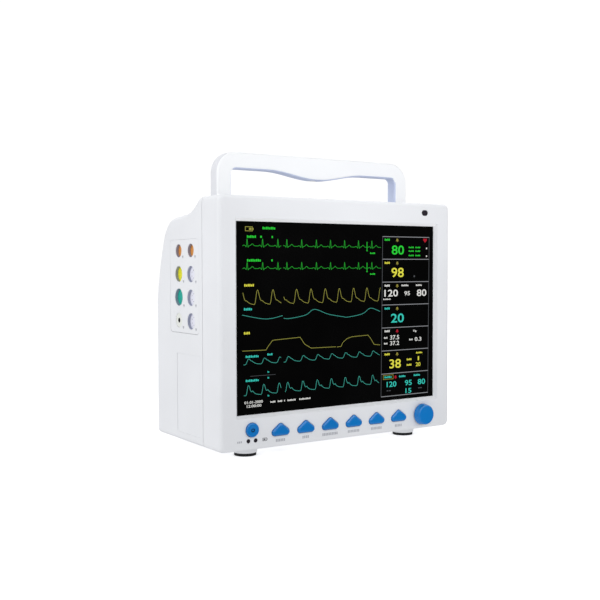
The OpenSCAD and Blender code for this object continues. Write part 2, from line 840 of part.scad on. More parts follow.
// Inside
shelf_z = floor_z + shelf_up;
chassis_x = side_x - chassis_inset;
mainboard_z = shelf_z + mainboard_h / 2 + mainboard_up;
pump_d = chassis_d + chassis_t + pump_back;
deck_z = shelf_z + chassis_t;
tray_x = battery_w / 2 + tray_room;
tray_back = body_d - wall - tray_rear_gap;
tray_front = tray_back - battery_l - 2 * tray_room;
door_x = tray_x + door_lip;
door_front = tray_front - tray_front_wall + door_front_gap;
door_back = tray_back + door_lip;
door_screw_d = door_front + door_screw_in;
shelf_post_x = chassis_x - shelf_post_in;
shelf_front = chassis_d + chassis_t;
shelf_posts_d = [shelf_front + shelf_post_end, shelf_front + shelf_l - shelf_post_end];
top_screw_z = top_z - screw_drop;
top_screw_seat = seam_d + seat_back;
front_boss_end = seam_d - tongue_l - front_boss_gap;
bracket_high = top_screw_z - front_boss_r - bracket_margin;
low_screw_d = seam_d - low_screw_in;
speaker_z = floor_z + speaker_up;

// Solid of the children, drawn in X and Z, from y = 0 to y = l
module prism_y(l) {
  translate([0, l, 0]) rotate([90, 0, 0]) linear_extrude(l) children();
}

// Slab w by h round x and z, t thick from depth d
module slab(x, d, z, w, h, t) {
  translate([x, d, z]) prism_y(t) square([w, h], center = true);
}

// Solid of the children, drawn in Y and Z, across the middle of X
module prism_x(l) {
  translate([-l / 2, 0, 0]) rotate([90, 0, 90]) linear_extrude(l) children();
}

// Round bar along Y from y = a to y = b, at x and z
module rod_y(x, z, r, a, b) {
  translate([x, a, z]) rotate([-90, 0, 0]) cylinder(r = r, h = b - a);
}

// Round bar along X from x = a to x = b, at y and z
module rod_x(y, z, r, a, b) {
  translate([a, y, z]) rotate([0, 90, 0]) cylinder(r = r, h = b - a);
}

// Box from one corner to the other
module block(a, b) {
  translate(a) cube(b - a);
}

module rounded_rect(w, h, r) {
  square([w - 2 * r, h], center = true);
  square([w, h - 2 * r], center = true);
  for (x = [-1, 1], y = [-1, 1]) translate([x * (w / 2 - r), y * (h / 2 - r)]) circle(r);
}

// Rectangle from y = 0 to y = l whose two corners at y = 0 are rounded
module round_nosed(w, l, r) {
  translate([-w / 2, r]) square([w, l - r]);
  translate([r - w / 2, 0]) square([w - 2 * r, l]);
  for (s = [-1, 1]) translate([s * (w / 2 - r), r]) circle(r);
}

// Everything is drawn with y = 0 on the front face and then moved so that the origin is midway in depth
module placed() {
  translate([0, front_y, 0]) children();
}

// Front box with rounded corners and a rounded edge round its front face
module front_box(w, h, l, c, e) {
  prism_x(w - 2 * c) rotate(-90) mirror([1, 0]) round_nosed(h, l, e);
  translate([0, 0, c - h / 2]) linear_extrude(h - 2 * c) round_nosed(w, l, e);
  for (x = [-1, 1], z = [-1, 1]) translate([x * (w / 2 - c), l, z * (h / 2 - c)]) rotate([90, 0, 0])
    rotate_extrude() {
      square([c, l - e]);
      square([c - e, l]);
      translate([c - e, l - e]) intersection() {
        circle(e);
        square(e);
      }
    }
}

// Pyramid stump that opens the bezel towards the viewer
module window_funnel() {
  big = bezel_chamfer * (window_recess + cut) / window_recess;
  intersection() {
    prism_x(window_w + 2 * big) polygon([[-cut, -window_h / 2 - big], [-cut, window_h / 2 + big],
      [window_recess, window_h / 2], [window_recess, -window_h / 2]]);
    translate([0, 0, -window_h / 2 - big]) linear_extrude(window_h + 2 * big)
      polygon([[-window_w / 2 - big, -cut], [window_w / 2 + big, -cut],
        [window_w / 2, window_recess], [-window_w / 2, window_recess]]);
  }
}

// Outline of a key: a triangle with its corners rounded, grown by g
function arc(c, r, a, b) = [for (i = [0:key_steps]) let (t = a + (b - a) * i / key_steps)
  c + r * [cos(t), sin(t)]];
module key_outline(g) {
  polygon(concat(arc(key_corners[0], key_r + g, 90 + key_slope, 270),
    arc(key_corners[1], key_r + g, 270, 450 - key_slope),
    arc(key_corners[2], key_r + g, 90 - key_slope, 90 + key_slope)));
}

// Alarm light outline, grown by g
module alarm_outline(g) {
  h = alarm_h + 2 * g;
  square([alarm_w - alarm_h, h], center = true);
  for (s = [-1, 1]) translate([s * (alarm_w - alarm_h) / 2, 0]) circle(h / 2);
}

module front_housing() {
  seat_w = window_w + 2 * window_lap + 2 * fit_gap;
  seat_h = window_h + 2 * window_lap + 2 * fit_gap;
  color("whitesmoke") placed() difference() {
    union() {
      translate([0, 0, body_z]) difference() {
        front_box(body_w, body_h, seam_d - seam_gap / 2, corner_r, edge_r);
        translate([0, wall, 0]) prism_y(seam_d)
          rounded_rect(body_w - 2 * wall, body_h - 2 * wall, max(corner_r - wall, cut));
      }
      slab(0, wall - cut, screen_z, seat_w + 2 * seat_wall, seat_h + 2 * seat_wall, gasket_d - wall + cut);
      for (p = bracket_posts) rod_y(p[0], p[1], post_r, wall - cut, bracket_d);
      for (x = keyboard_posts)
        rod_y(keyboard_x + x, keyboard_post_z, keyboard_post_r, wall - cut, keyboard_d);
      for (s = [-1, 1])
        rod_y(s * top_screw_x, top_screw_z, front_boss_r, wall - cut, front_boss_end);
    }
    translate([0, 0, screen_z]) window_funnel();
    slab(0, 0, screen_z, window_w, window_h, seam_d);
    slab(0, window_recess, screen_z, seat_w, seat_h, seam_d);
    rod_y(power_x, power_z, power_r + key_gap, -cut, wall + cut);
    rod_y(power_x, power_z, power_r + key_rim + key_gap, wall, gasket_d + cut);
    for (i = [1:key_count])
      translate([key_x(i), -cut, key_z]) prism_y(wall + 2 * cut) key_outline(key_gap);
    rod_y(knob_x, knob_z, shaft_r + shaft_hole_gap, -cut, wall + cut);
    for (s = [-1, 1]) rod_y(power_x + s * lamp_side, lamp_z, lamp_r + fit_gap, -cut, wall + cut);
    translate([alarm_x, -cut, alarm_z]) prism_y(wall + 2 * cut) alarm_outline(fit_gap);
    for (p = bracket_posts) rod_y(p[0], p[1], post_hole_r, wall + post_floor, bracket_d + cut);
    for (s = [-1, 1]) {
      rod_y(s * top_screw_x, top_screw_z, screw_r + bite_gap, front_boss_end - front_boss_l, seam_d);
      translate([s * low_screw_x, low_screw_d, floor_z - cut]) {
        cylinder(r = screw_r + fit_gap, h = wall + 2 * cut);
        cylinder(r = screw_head_r + fit_gap, h = cut + head_sink + low_head_t);
      }
    }
  }
}

// Side view of the rear housing, shrunk by w, from depth a to the rear
function rear_outline(w, a) =
  let (heel = max(heel_r - w, cut / 2))
  concat([[a, floor_z + w], [a, top_z - w]],
    swell_arc(crest_c, crest_r - w, 0, step_slope, crest_steps),
    hollow_arc(valley_c, valley_r + w, step_slope, deck_slope, valley_steps),
    swell_arc(shoulder_c, shoulder_r - w, deck_slope, back_slope, shoulder_steps),
    swell_arc(back_c, back_r - w, back_slope, 90, back_steps),
    swell_arc([body_d - w - heel, floor_z + w + heel], heel, 90, 180, heel_steps));

// Skin of the rear body: the side view swept across the width, with its long edges rounded
function skin_ring(x, w, a) = [for (p = rear_outline(w, a)) [x, p[0], p[1]]];
module rear_skin(a) {
  bends = [for (i = [0:fillet_steps]) 90 * i / fillet_steps];
  rings = concat(
    [for (t = bends) skin_ring(corner_r * (1 - cos(t)) - side_x, corner_r * (1 - sin(t)), a)],
    [for (t = bends) skin_ring(side_x - corner_r * (1 - sin(t)), corner_r * (1 - cos(t)), a)]);
  n = len(rings[0]);
  m = len(rings);
  sides = [for (k = [0:m - 2], i = [0:n - 1]) let (j = (i + 1) % n)
    [k * n + i, k * n + j, (k + 1) * n + j, (k + 1) * n + i]];
  first = [[for (i = [0:n - 1]) n - 1 - i]];
  last = [[for (i = [0:n - 1]) (m - 1) * n + i]];
  polyhedron([for (r = rings) each r], concat(sides, first, last));
}

// Outside of the rear body, from depth a to the rear
module rear_body(a) {
  intersection() {
    rear_skin(a);
    translate([0, body_d, 0]) mirror([0, 1, 0]) linear_extrude(top_z + cut)
      round_nosed(body_w, body_d - a, rear_edge_r);
  }
}

// Hollow of the rear body, one wall inside it, from depth a to the rear
module rear_hollow(a) {
  intersection() {
    prism_x(body_w - 2 * wall) polygon(rear_outline(wall, a));
    translate([0, a, body_z]) prism_y(body_d)
      rounded_rect(body_w - 2 * wall, body_h - 2 * wall, max(corner_r - wall, cut));
    translate([0, body_d - wall, 0]) mirror([0, 1, 0]) linear_extrude(top_z + cut)
      round_nosed(body_w - 2 * wall, body_d - wall - a, rear_edge_r - wall);
  }
}

// Ring that follows the side walls, from shrink a to shrink b, between two depths
module wall_ring(a, b, front, back) {
  translate([0, front, body_z]) difference() {
    prism_y(back - front) rounded_rect(body_w - 2 * a, body_h - 2 * a, max(corner_r - a, cut));
    translate([0, -cut, 0]) prism_y(back - front + 2 * cut)
      rounded_rect(body_w - 2 * b, body_h - 2 * b, max(corner_r - b, cut));
  }
}

// Pocket of one handle leg, grown by g, which lets the leg swing from upright to lying on the deck
module leg_pocket(s, g) {
  a = s * leg_x - leg_w / 2 - pocket_gap - g;
  b = s * leg_x + leg_w / 2 + pocket_gap + g;
  r = handle_d / 2 + pocket_gap + g;
  rod_x(pivot_d, pivot_z, r, a, b);
  block([a, pivot_d, pocket_floor - g], [b, pivot_d + pocket_l + g, top_z]);
  block([a, pivot_d - r, pivot_z], [b, pivot_d + cut, top_z + cut]);
}

// Louvres in the upper back
module vents() {
  for (c = [-1, 0, 1], i = [0:vent_rows - 1]) {
    z = body_z + vent_up + i * vent_pitch;
    x = c * (vent_w + vent_gap);
    block([x - vent_w / 2, body_d - vent_reach, z], [x + vent_w / 2, body_d + cut, z + vent_h]);
  }
}

// Slots in front of the loudspeaker
module speaker_slots() {
  for (i = [-slot_rows:slot_rows]) {
    z = speaker_z + i * slot_pitch;
    half = sqrt(pow(speaker_r - slot_margin, 2) - pow(i * slot_pitch, 2));
    block([speaker_right - half, body_d - wall - cut, z - slot_h / 2],
      [speaker_right + half, body_d + cut, z + slot_h / 2]);
  }
}

module rear_housing() {
  tongue_in = wall + fit_gap;
  seam_back = seam_d + seam_gap / 2;
  color("whitesmoke") placed() difference() {
    union() {
      difference() {
        rear_body(seam_back);
        rear_hollow(seam_back - cut);
      }
      intersection() {
        rear_body(seam_back);
        union() {
          wall_ring(wall / 2, tongue_in + tongue_t, seam_back, seam_back + tongue_l);
          for (s = [-1, 1]) {
            leg_pocket(s, pocket_wall);
            rod_y(s * top_screw_x, top_screw_z, top_boss_r, seam_back, seam_back + top_boss_l);
            translate([s * bracket_x / 2, bracket_mid, floor_z])
              linear_extrude(wall + bracket_depth)
              square([2 * bracket_boss, bracket_y + 2 * bracket_boss], center = true);
            for (d = shelf_posts_d) translate([s * shelf_post_x, d, floor_z + cut])
              cylinder(r = shelf_post_r, h = shelf_up - cut);
          }
          block([-tray_x - tray_wall, tray_front - tray_front_wall, floor_z],
            [tray_x + tray_wall, tray_back + tray_wall, shelf_z]);
        }
      }
      wall_ring(tongue_in, tongue_in + tongue_t, seam_back - seam_gap - tongue_l, seam_back + cut);
      for (s = [-1, 1]) {
        block([s * low_screw_x - tab_w / 2, low_screw_d - tab_front, floor_z + tongue_in],
          [s * low_screw_x + tab_w / 2, seam_back + cut, floor_z + tongue_in + tab_t]);
        rod_x(pivot_d, pivot_z, ear_r, s * ear_x - ear_t / 2, s * ear_x + ear_t / 2);
        block([s * ear_x - ear_t / 2, pivot_d - ear_r, pivot_z - ear_drop],
          [s * ear_x + ear_t / 2, pivot_d + ear_r, pivot_z]);
      }
    }
    for (s = [-1, 1]) {
      leg_pocket(s, 0);
      rod_x(pivot_d, pivot_z, pin_r, s * ear_x - ear_t, s * ear_x + ear_t);
      rod_y(s * top_screw_x, top_screw_z, screw_head_r + fit_gap, top_screw_seat, body_d);
      rod_y(s * top_screw_x, top_screw_z, screw_r + fit_gap, seam_d - cut, body_d);
      translate([s * low_screw_x, low_screw_d, floor_z])
        cylinder(r = screw_r + bite_gap, h = wall + tab_t + cut);
      for (d = [-1, 1])
        translate([s * bracket_x / 2, bracket_mid + d * bracket_y / 2, floor_z - cut])
        cylinder(r = bracket_r, h = cut + bracket_depth);
    }
    translate([-side_x - cut, panel_d, panel_z]) rotate([0, 0, -90]) prism_y(wall + 2 * cut)
      rounded_rect(panel_l + 2 * fit_gap, panel_h + 2 * fit_gap, panel_r);
    block([-side_x - cut, label_d, floor_z + label_up],
      [-side_x + label_sink, label_d + label_l, floor_z + label_up + label_h]);
    slab(bay_x, bay_floor - cut, bay_z,
      bay_outer_w + 2 * fit_gap, bay_outer_h + 2 * fit_gap, bay_sink + 2 * cut);
    block([-tray_x, tray_front, floor_z - cut], [tray_x, tray_back, shelf_z - tray_wall]);
    block([-door_x - door_gap, door_front - door_gap, floor_z - cut],
      [door_x + door_gap, door_back + door_gap, inner_z]);
    for (s = [-1, 1]) translate([s * door_screw_x, door_screw_d, floor_z])
      cylinder(r = door_screw_r + bite_gap, h = head_sink + door_screw_l + cut);
    vents();
    speaker_slots();
  }
}

// Cross-section of the handle across its path: a rounded rectangle t thick and handle_d deep,
// as [across, depth] pairs that go once round
function section(t, lift) = [for (q = [0:3], i = [0:section_steps])
  let (a = 90 * q + 90 * i / section_steps,
    sx = (q == 0 || q == 3) ? 1 : -1,
    sy = q < 2 ? 1 : -1)
  [sx * (t / 2 - handle_edge) + handle_edge * cos(a) + lift,
  sy * (handle_d / 2 - handle_edge) + handle_edge * sin(a)]];

// Thickness that the grip adds at distance x from the middle
function swell(x) = abs(x) < grip_half ? grip_swell * (1 + cos(180 * x / grip_half)) / 2 : 0;

// Rings of the handle from the left pivot to the right one: [origin, direction across, thickness, shift]
turn_x = handle_x - handle_r;
turn_z = handle_top - handle_r;
function turn_thick(i) = leg_w + (bar_t - leg_w) * i / corner_steps;
function left_turn(i) = let (a = 180 - 90 * i / corner_steps)
  [[-turn_x, turn_z] + handle_r * [cos(a), sin(a)], [cos(a), sin(a)], turn_thick(i)];
function right_turn(i) = let (a = 90 - 90 * i / corner_steps)
  [[turn_x, turn_z] + handle_r * [cos(a), sin(a)], [cos(a), sin(a)], turn_thick(corner_steps - i)];
function bar_ring(x) = [[x, handle_top], [0, 1], bar_t + swell(x)];
handle_rings = concat(
  [[[-handle_x, pivot_z], [-1, 0], leg_w]],
  [for (i = [0:corner_steps]) left_turn(i)],
  [for (i = [0:grip_steps]) bar_ring(grip_half * (2 * i / grip_steps - 1))],
  [for (i = [0:corner_steps]) right_turn(i)],
  [[[handle_x, pivot_z], [1, 0], leg_w]]);
function ring_points(r) = [for (p = section(r[2], -r[2] / 2))
  [r[0][0] + p[0] * r[1][0], pivot_d + p[1], r[0][1] + p[0] * r[1][1]]];

module handle_sweep() {
  n = 4 * (section_steps + 1);
  m = len(handle_rings);
  points = [for (r = handle_rings) each ring_points(r)];
  sides = [for (k = [0:m - 2], i = [0:n - 1]) let (j = (i + 1) % n) each
    [[k * n + i, k * n + j, (k + 1) * n + j], [k * n + i, (k + 1) * n + j, (k + 1) * n + i]]];
  first = [[for (i = [0:n - 1]) n - 1 - i]];
  last = [[for (i = [0:n - 1]) (m - 1) * n + i]];
  polyhedron(points, concat(sides, first, last));
}

module carry_handle() {
  color("white") placed() difference() {
    union() {
      handle_sweep();
      for (s = [-1, 1])
        rod_x(pivot_d, pivot_z, handle_d / 2, s * leg_x - leg_w / 2, s * leg_x + leg_w / 2);
    }
    for (s = [-1, 1]) rod_x(pivot_d, pivot_z, pin_r + pin_gap, s * leg_x - leg_w, s * leg_x + leg_w);
  }
}

module handle_pins() {
  color("silver") placed() for (s = [-1, 1]) {
    inner = s * (ear_x - ear_t / 2);
    rod_x(pivot_d, pivot_z, pin_r, min(inner, inner + s * pin_l), max(inner, inner + s * pin_l));
  }
}

module handle_washers() {
  t = pocket_gap - 2 * washer_play;
  color("dimgray") placed() for (s = [-1, 1]) difference() {
    inner = s * (ear_x + ear_t / 2 + t / 2);
    rod_x(pivot_d, pivot_z, washer_r, inner - t / 2, inner + t / 2);
    rod_x(pivot_d, pivot_z, pin_r + pin_gap, inner - t, inner + t);
  }
}

module display_window() {
  color("black", 0.5) placed()
    slab(0, window_recess, screen_z, window_w + 2 * window_lap, window_h + 2 * window_lap, window_t);
}

module window_gasket() {
  color("dimgray") placed() translate([0, gasket_d, screen_z]) difference() {
    prism_y(gasket_t) square([window_w + 2 * window_lap, window_h + 2 * window_lap], center = true);
    slab(0, -cut, 0, window_w, window_h, gasket_t + 2 * cut);
  }
}

module lcd_panel() {
  color("#101010") placed() slab(0, lcd_d, screen_z, lcd_w, lcd_h, lcd_t);
}

module lcd_bracket() {
  w = 2 * post_low_x + 2 * post_r;
  color("silver") placed() difference() {
    union() {
      block([-w / 2, bracket_d, bracket_low], [w / 2, bracket_d + bracket_t, bracket_high]);
      for (s = [-1, 1]) {
        block([s * post_top_x - post_r - bracket_margin, bracket_d, bracket_high - cut],
          [s * post_top_x + post_r + bracket_margin, bracket_d + bracket_t, post_top_z + post_r]);
        rod_y(s * backlight_studs / 2, backlight_z, stud_r, bracket_d, bracket_d + bracket_t + stud_l);
      }
    }
    for (s = [-1, 1])
      block([s * w / 4 - w / 4 + bracket_band, bracket_d - cut, bracket_low + 2 * bracket_band],
        [s * w / 4 + w / 4 - bracket_band, bracket_d + bracket_t + cut, bracket_high - bracket_band]);
    for (p = bracket_posts)
      rod_y(p[0], p[1], bracket_hole_r, bracket_d - cut, bracket_d + bracket_t + cut);
  }
}

module bracket_screws() {
  seat = bracket_d + bracket_t;
  color("silver") placed() for (p = bracket_posts) {
    rod_y(p[0], p[1], post_hole_r - bite_gap, bracket_d - bracket_screw_l, seat + cut);
    rod_y(p[0], p[1], bracket_head_r, seat, seat + bracket_head_t);
  }
}

module backlight_board() {
  d = bracket_d + bracket_t + stud_l;
  color("darkgreen") placed() {
    slab(0, d, backlight_z, backlight_w, backlight_h, board_t);
    for (s = [-1, 1]) slab(s * coil_pitch / 2, d, backlight_z, coil_w, coil_h, board_t + coil_t);
  }
}

module key_board() {
  color("darkgreen") placed() block([keyboard_x - keyboard_w / 2, keyboard_d, keyboard_z],
    [keyboard_x + keyboard_w / 2, keyboard_d + board_t, keyboard_z + keyboard_h]);
}

// Tact switch on the key board behind x and z
module tact_switch(x, z) {
  front = keyboard_d - switch_h;
  block([x - switch_w / 2, front + switch_button, z - switch_w / 2],
    [x + switch_w / 2, keyboard_d, z + switch_w / 2]);
  rod_y(x, z, switch_r, front, keyboard_d);
}

module key_switches() {
  color("#303030") placed() {
    tact_switch(power_x, power_z);
    for (i = [1:key_count]) tact_switch(key_x(i), key_mid);
  }
}

module power_button() {
  color("#0073c6") placed() {
    difference() {
      translate([power_x, wall, power_z]) rotate([90, 0, 0]) rotate_extrude() {
        square([power_r, wall + key_proud - key_edge]);
        square([power_r - key_edge, wall + key_proud]);
        translate([power_r - key_edge, wall + key_proud - key_edge]) circle(key_edge, $fn = 48);
      }
      translate([power_x, dish_depth - key_proud - dish_r, power_z]) sphere(dish_r);
    }
    rod_y(power_x, power_z, power_r + key_rim, wall + rim_gap, wall + rim_gap + rim_t);
    rod_y(power_x, power_z, power_r - key_edge / 2, wall - cut, wall + rim_gap + cut);
    rod_y(power_x, power_z, stem_r, wall, stem_end);
  }
}

// Triangular key with a rounded front edge, a rim behind the wall and a stem to its switch
module key(i) {
  color("#0073c6") placed() translate([key_x(i), 0, key_z]) {
    hull() for (c = key_corners) translate([c[0], wall, c[1]]) rotate([90, 0, 0]) {
      cylinder(r = key_r, h = wall + key_proud - key_edge, $fn = 32);
      translate([0, 0, wall + key_proud - key_edge]) rotate_extrude($fn = 32)
        translate([key_r - key_edge, 0]) circle(key_edge, $fn = 16);
    }
    translate([0, wall - cut / 2, 0]) prism_y(rim_gap + cut) key_outline(-key_edge / 2);
    translate([0, wall + rim_gap, 0]) prism_y(rim_t) key_outline(key_rim);
    rod_y(0, key_mid - key_z, stem_r, wall, stem_end);
  }
}

module key_1() {
  key(1);
}

module key_2() {
  key(2);
}

module key_3() {
  key(3);
}

module key_4() {
  key(4);
}

module key_5() {
  key(5);
}

module key_6() {
  key(min(6, key_count));
}

module encoder_body() {
  color("silver") placed() difference() {
    union() {
      block([knob_x - encoder_w / 2, encoder_front, knob_z - encoder_w / 2],
        [knob_x + encoder_w / 2, keyboard_d, knob_z + encoder_w / 2]);
      rod_y(knob_x, knob_z, bushing_r, bushing_end, encoder_front + cut);
    }
    rod_y(knob_x, knob_z, shaft_r + pin_gap, 0, shaft_end);
    rod_y(knob_x, knob_z, plunger_r + key_gap, shaft_end - fit_gap, keyboard_d - encoder_back);
  }
}

module encoder_plunger() {
  color("dimgray") placed() rod_y(knob_x, knob_z, plunger_r, plunger_front, plunger_front + plunger_t);
}

module encoder_shaft() {
  color("silver") placed() rod_y(knob_x, knob_z, shaft_r, shaft_front, shaft_end);
}

module control_knob() {
  color("#0073c6") placed() translate([knob_x, -knob_gap, knob_z]) rotate([90, 0, 0]) difference() {
    rotate_extrude() {
      polygon([[0, 0], [knob_r, 0], [knob_face_r, knob_h - knob_edge],
        [knob_face_r - knob_edge, knob_h], [0, knob_h]]);
      translate([knob_face_r - knob_edge, knob_h - knob_edge]) circle(knob_edge, $fn = 48);
    }
    translate([0, 0, -cut]) cylinder(r = shaft_r + bite_gap, h = cut + knob_h - knob_face_t + fit_gap);
  }
}

module status_lights() {
  color("#202020") placed() for (s = [-1, 1]) {
    rod_y(power_x + s * lamp_side, lamp_z, lamp_r, lamp_sink, wall + cut);
    rod_y(power_x + s * lamp_side, lamp_z, lamp_r + lamp_rim, wall, wall + lamp_rim_t);
  }
}

module alarm_light() {
  color("#202020") placed() translate([alarm_x, 0, alarm_z]) {
    translate([0, lamp_sink, 0]) prism_y(wall + cut) alarm_outline(0);
    translate([0, wall, 0]) prism_y(lamp_rim_t) alarm_outline(alarm_rim);
  }
}

// Round piece that lies across the left side: from depth a to depth b below the side's face
module side_rod(d, z, r, a, b) {
  rod_x(d, z, r, a - side_x, b - side_x);
}

// Holes for one socket in the panel: the mouth and the seat of its rim
module socket_hole(d, z, r) {
  side_rod(d, z, r, -cut, panel_t + cut);
  side_rod(d, z, r + socket_rim + fit_gap, socket_recess, panel_t + cut);
}

module sensor_panel() {
  color("whitesmoke") placed() difference() {
    union() {
      translate([-side_x, panel_d, panel_z]) rotate([0, 0, -90]) prism_y(panel_t)
        rounded_rect(panel_l - 2 * fit_gap, panel_h - 2 * fit_gap, panel_r);
      translate([wall - side_x, panel_d, panel_z]) rotate([0, 0, -90]) prism_y(panel_t - wall)
        rounded_rect(panel_l + 2 * panel_rim, panel_h + 2 * panel_rim, panel_r);
    }
    for (c = [0, 1]) socket_hole(column_d(c), row_z(0), temperature_r);
    socket_hole(column_d(1), row_z(1), oximeter_r);
    socket_hole(column_d(1), row_z(2), ecg_r);
    for (r = [1:3]) socket_hole(column_d(0), row_z(r), pressure_r);
    socket_hole(column_d(1), row_z(3), cuff_r);
  }
}

// Socket insert: a rim seated in the panel and a body that reaches its board
module socket(d, z, r) {
  side_rod(d, z, r + socket_rim, socket_recess, socket_recess + socket_rim_t);
  side_rod(d, z, r - socket_neck, socket_recess + cut, parameter_d);
}

module temperature_sockets() {
  color("#e0853c") placed() for (c = [0, 1]) socket(column_d(c), row_z(0), temperature_r);
}

module oximeter_socket() {
  color("#e0dc14") placed() socket(column_d(1), row_z(1), oximeter_r);
}

module ecg_socket() {
  color("#16a895") placed() socket(column_d(1), row_z(2), ecg_r);
}

module pressure_sockets() {
  color("white") placed() for (r = [1:3]) socket(column_d(0), row_z(r), pressure_r);
}

module cuff_port() {
  d = column_d(1);
  z = row_z(3);
  color("gainsboro") placed() difference() {
    union() {
      side_rod(d, z, cuff_r - fit_gap, cuff_sink, socket_recess + cut);
      side_rod(d, z, cuff_r + socket_rim, socket_recess, socket_recess + socket_rim_t);
      side_rod(d, z, cuff_r - cuff_neck, socket_recess + cut, parameter_d);
    }
    side_rod(d, z, cuff_bore, -cut, cuff_sink + cuff_depth);
  }
}

module parameter_board() {
  x = parameter_d - side_x;
  low = [x, column_d(0) - parameter_margin, row_z(3) - parameter_margin];
  high = [x + board_t, column_d(1) + parameter_margin, row_z(0) + parameter_margin];
  inset = [0, shield_margin, shield_margin];
  color("darkgreen") placed() {
    block(low, high);
    block(low + inset, high - inset + [shield_t, 0, 0]);
  }
}

module chassis() {
  high = shelf_z + chassis_h;
  window_z = high - plate_window_drop - plate_window_h / 2;
  color("silver") placed() {
    difference() {
      block([-chassis_x, chassis_d, shelf_z], [chassis_x, shelf_front, high]);
      for (s = [-1, 1])
        slab(s * plate_window_pitch / 2, chassis_d - cut, window_z,
          plate_window_w, plate_window_h, chassis_t + 2 * cut);
    }
    block([-chassis_x, chassis_d, shelf_z], [chassis_x, shelf_front + shelf_l, deck_z]);
    for (sx = [-1, 1], sz = [-1, 1])
      rod_y(sx * (mainboard_w / 2 - stud_in), mainboard_z + sz * (mainboard_h / 2 - stud_in), stud_r,
        chassis_d - stud_l, shelf_front);
  }
}

// Part on the front of the main board, round x and z of the board's middle
module board_part(x, z, w, h, t) {
  slab(x, chassis_d - stud_l - board_t - t, mainboard_z + z, w, h, board_t + t);
}

module main_board() {
  color("darkgreen") placed() {
    board_part(0, 0, mainboard_w, mainboard_h, 0);
    board_part(-processor_left, 0, processor_w, processor_w, processor_t);
    for (s = [-1, 1]) board_part(memory_right, s * memory_pitch / 2, memory_w, memory_h, memory_t);
    board_part(header_in - mainboard_w / 2, 0, header_w, header_l, header_t);
  }
}

module power_supply() {
  a = shelf_front + supply_gap;
  b = plate_d - holder_l - supply_rear_gap;
  x = supply_side - chassis_x;
  high = deck_z + supply_h;
  pitch = (supply_w - 2 * supply_slot_in - supply_slot_w) / (supply_slots - 1);
  color("silver") placed() difference() {
    block([x, a, deck_z], [x + supply_w, b, high]);
    for (i = [0:supply_slots - 1])
      block([x + supply_slot_in + i * pitch, a + supply_slot_in, high - supply_slot_depth],
        [x + supply_slot_in + i * pitch + supply_slot_w, b - supply_slot_in, high + cut]);
  }
}

// Hose nipple that stands on a pump or valve of height h at x
module nipple(x, h) {
  translate([x, pump_d, deck_z + h - cut]) cylinder(r = nipple_r, h = nipple_l + cut);
}

module cuff_pump() {
  head = pump_right + motor_l;
  color("dimgray") placed() {
    rod_x(pump_d, deck_z + pump_h / 2, motor_r, pump_right, head + cut);
    block([head, pump_d - pump_l / 2, deck_z], [head + pump_w, pump_d + pump_l / 2, deck_z + pump_h]);
    block([pump_right, pump_d - cradle_l / 2, deck_z],
      [head + cut, pump_d + cradle_l / 2, deck_z + cradle_h]);
    nipple(head + pump_w / 2, pump_h);
  }
}

module cuff_valve() {
  x = pump_right + motor_l + pump_w + valve_gap;
  color("gray") placed() {
    block([x, pump_d - valve_l / 2, deck_z], [x + valve_w, pump_d + valve_l / 2, deck_z + valve_h]);
    nipple(x + valve_w / 2, valve_h);
  }
}

module loudspeaker() {
  a = body_d - wall;
  color("#202020") placed() {
    rod_y(speaker_right, speaker_z, speaker_r, a - basket_t, a);
    translate([speaker_right, a - basket_t, speaker_z]) rotate([90, 0, 0])
      cylinder(r1 = speaker_r, r2 = magnet_r, h = cone_l);
    rod_y(speaker_right, speaker_z, magnet_r, a - speaker_t, a - basket_t - cone_l + cut);
  }
}

module battery_pack() {
  color("#303030") placed() block([-battery_w / 2, tray_front + tray_room, inner_z],
    [battery_w / 2, tray_back - tray_room, inner_z + battery_t]);
}

module battery_door() {
  color("whitesmoke") placed() difference() {
    block([-door_x, door_front, floor_z], [door_x, door_back, inner_z]);
    for (s = [-1, 1]) translate([s * door_screw_x, door_screw_d, floor_z - cut]) {
      cylinder(r = door_screw_r + 2 * fit_gap, h = wall + 2 * cut);
      cylinder(r = door_head_r + 2 * fit_gap, h = cut + head_sink + door_head_t);
    }
  }
}

module door_screws() {
  color("silver") placed() for (s = [-1, 1])
    translate([s * door_screw_x, door_screw_d, floor_z + head_sink]) {
      cylinder(r = door_head_r, h = door_head_t);
      cylinder(r = door_screw_r, h = door_screw_l);
    }
}

// Moulded frame of the bay, which snaps into the rear wall from inside
module connector_bay() {
  color("whitesmoke") placed() {
    translate([bay_x, bay_floor, bay_z]) difference() {
      prism_y(bay_end - bay_floor) square([bay_outer_w, bay_outer_h], center = true);
      slab(0, -cut, 0, bay_w, bay_h, bay_sink + 2 * cut);
    }
    for (x = [-1, 1], z = [-1, 1])
      slab(bay_x + x * bay_w / 4, snap_d, bay_z + z * (bay_outer_h - cut + snap_h) / 2,
        snap_w, snap_h + cut, snap_t);
  }
}

module connector_plate() {
  color("silver") placed() difference() {
    slab(bay_x, plate_d, bay_z, bay_outer_w, bay_outer_h, plate_t);
    slab(inlet_x, plate_d - cut, bay_z,
      inlet_body_w + 2 * fit_gap, inlet_body_h + 2 * fit_gap, plate_t + 2 * cut);
    for (s = [-1, 1])
      rod_y(fuse_x, bay_z + s * fuse_pitch / 2, holder_r + fit_gap, plate_d - cut, bay_floor + cut);
    rod_y(ground_x, bay_z, ground_r + fit_gap, plate_d - cut, bay_floor + cut);
    slab(port_x, plate_d - cut, bay_z,
      port_body_w + 2 * fit_gap, port_body_h + 2 * fit_gap, plate_t + 2 * cut);
  }
}

// Mouth of the mains inlet: a rectangle with its two upper corners cut off
module mouth_outline() {
  w = mouth_w / 2;
  h = mouth_h / 2;
  polygon([[-w, -h], [w, -h], [w, h - mouth_cut], [w - mouth_cut, h], [mouth_cut - w, h],
    [-w, h - mouth_cut]]);
}

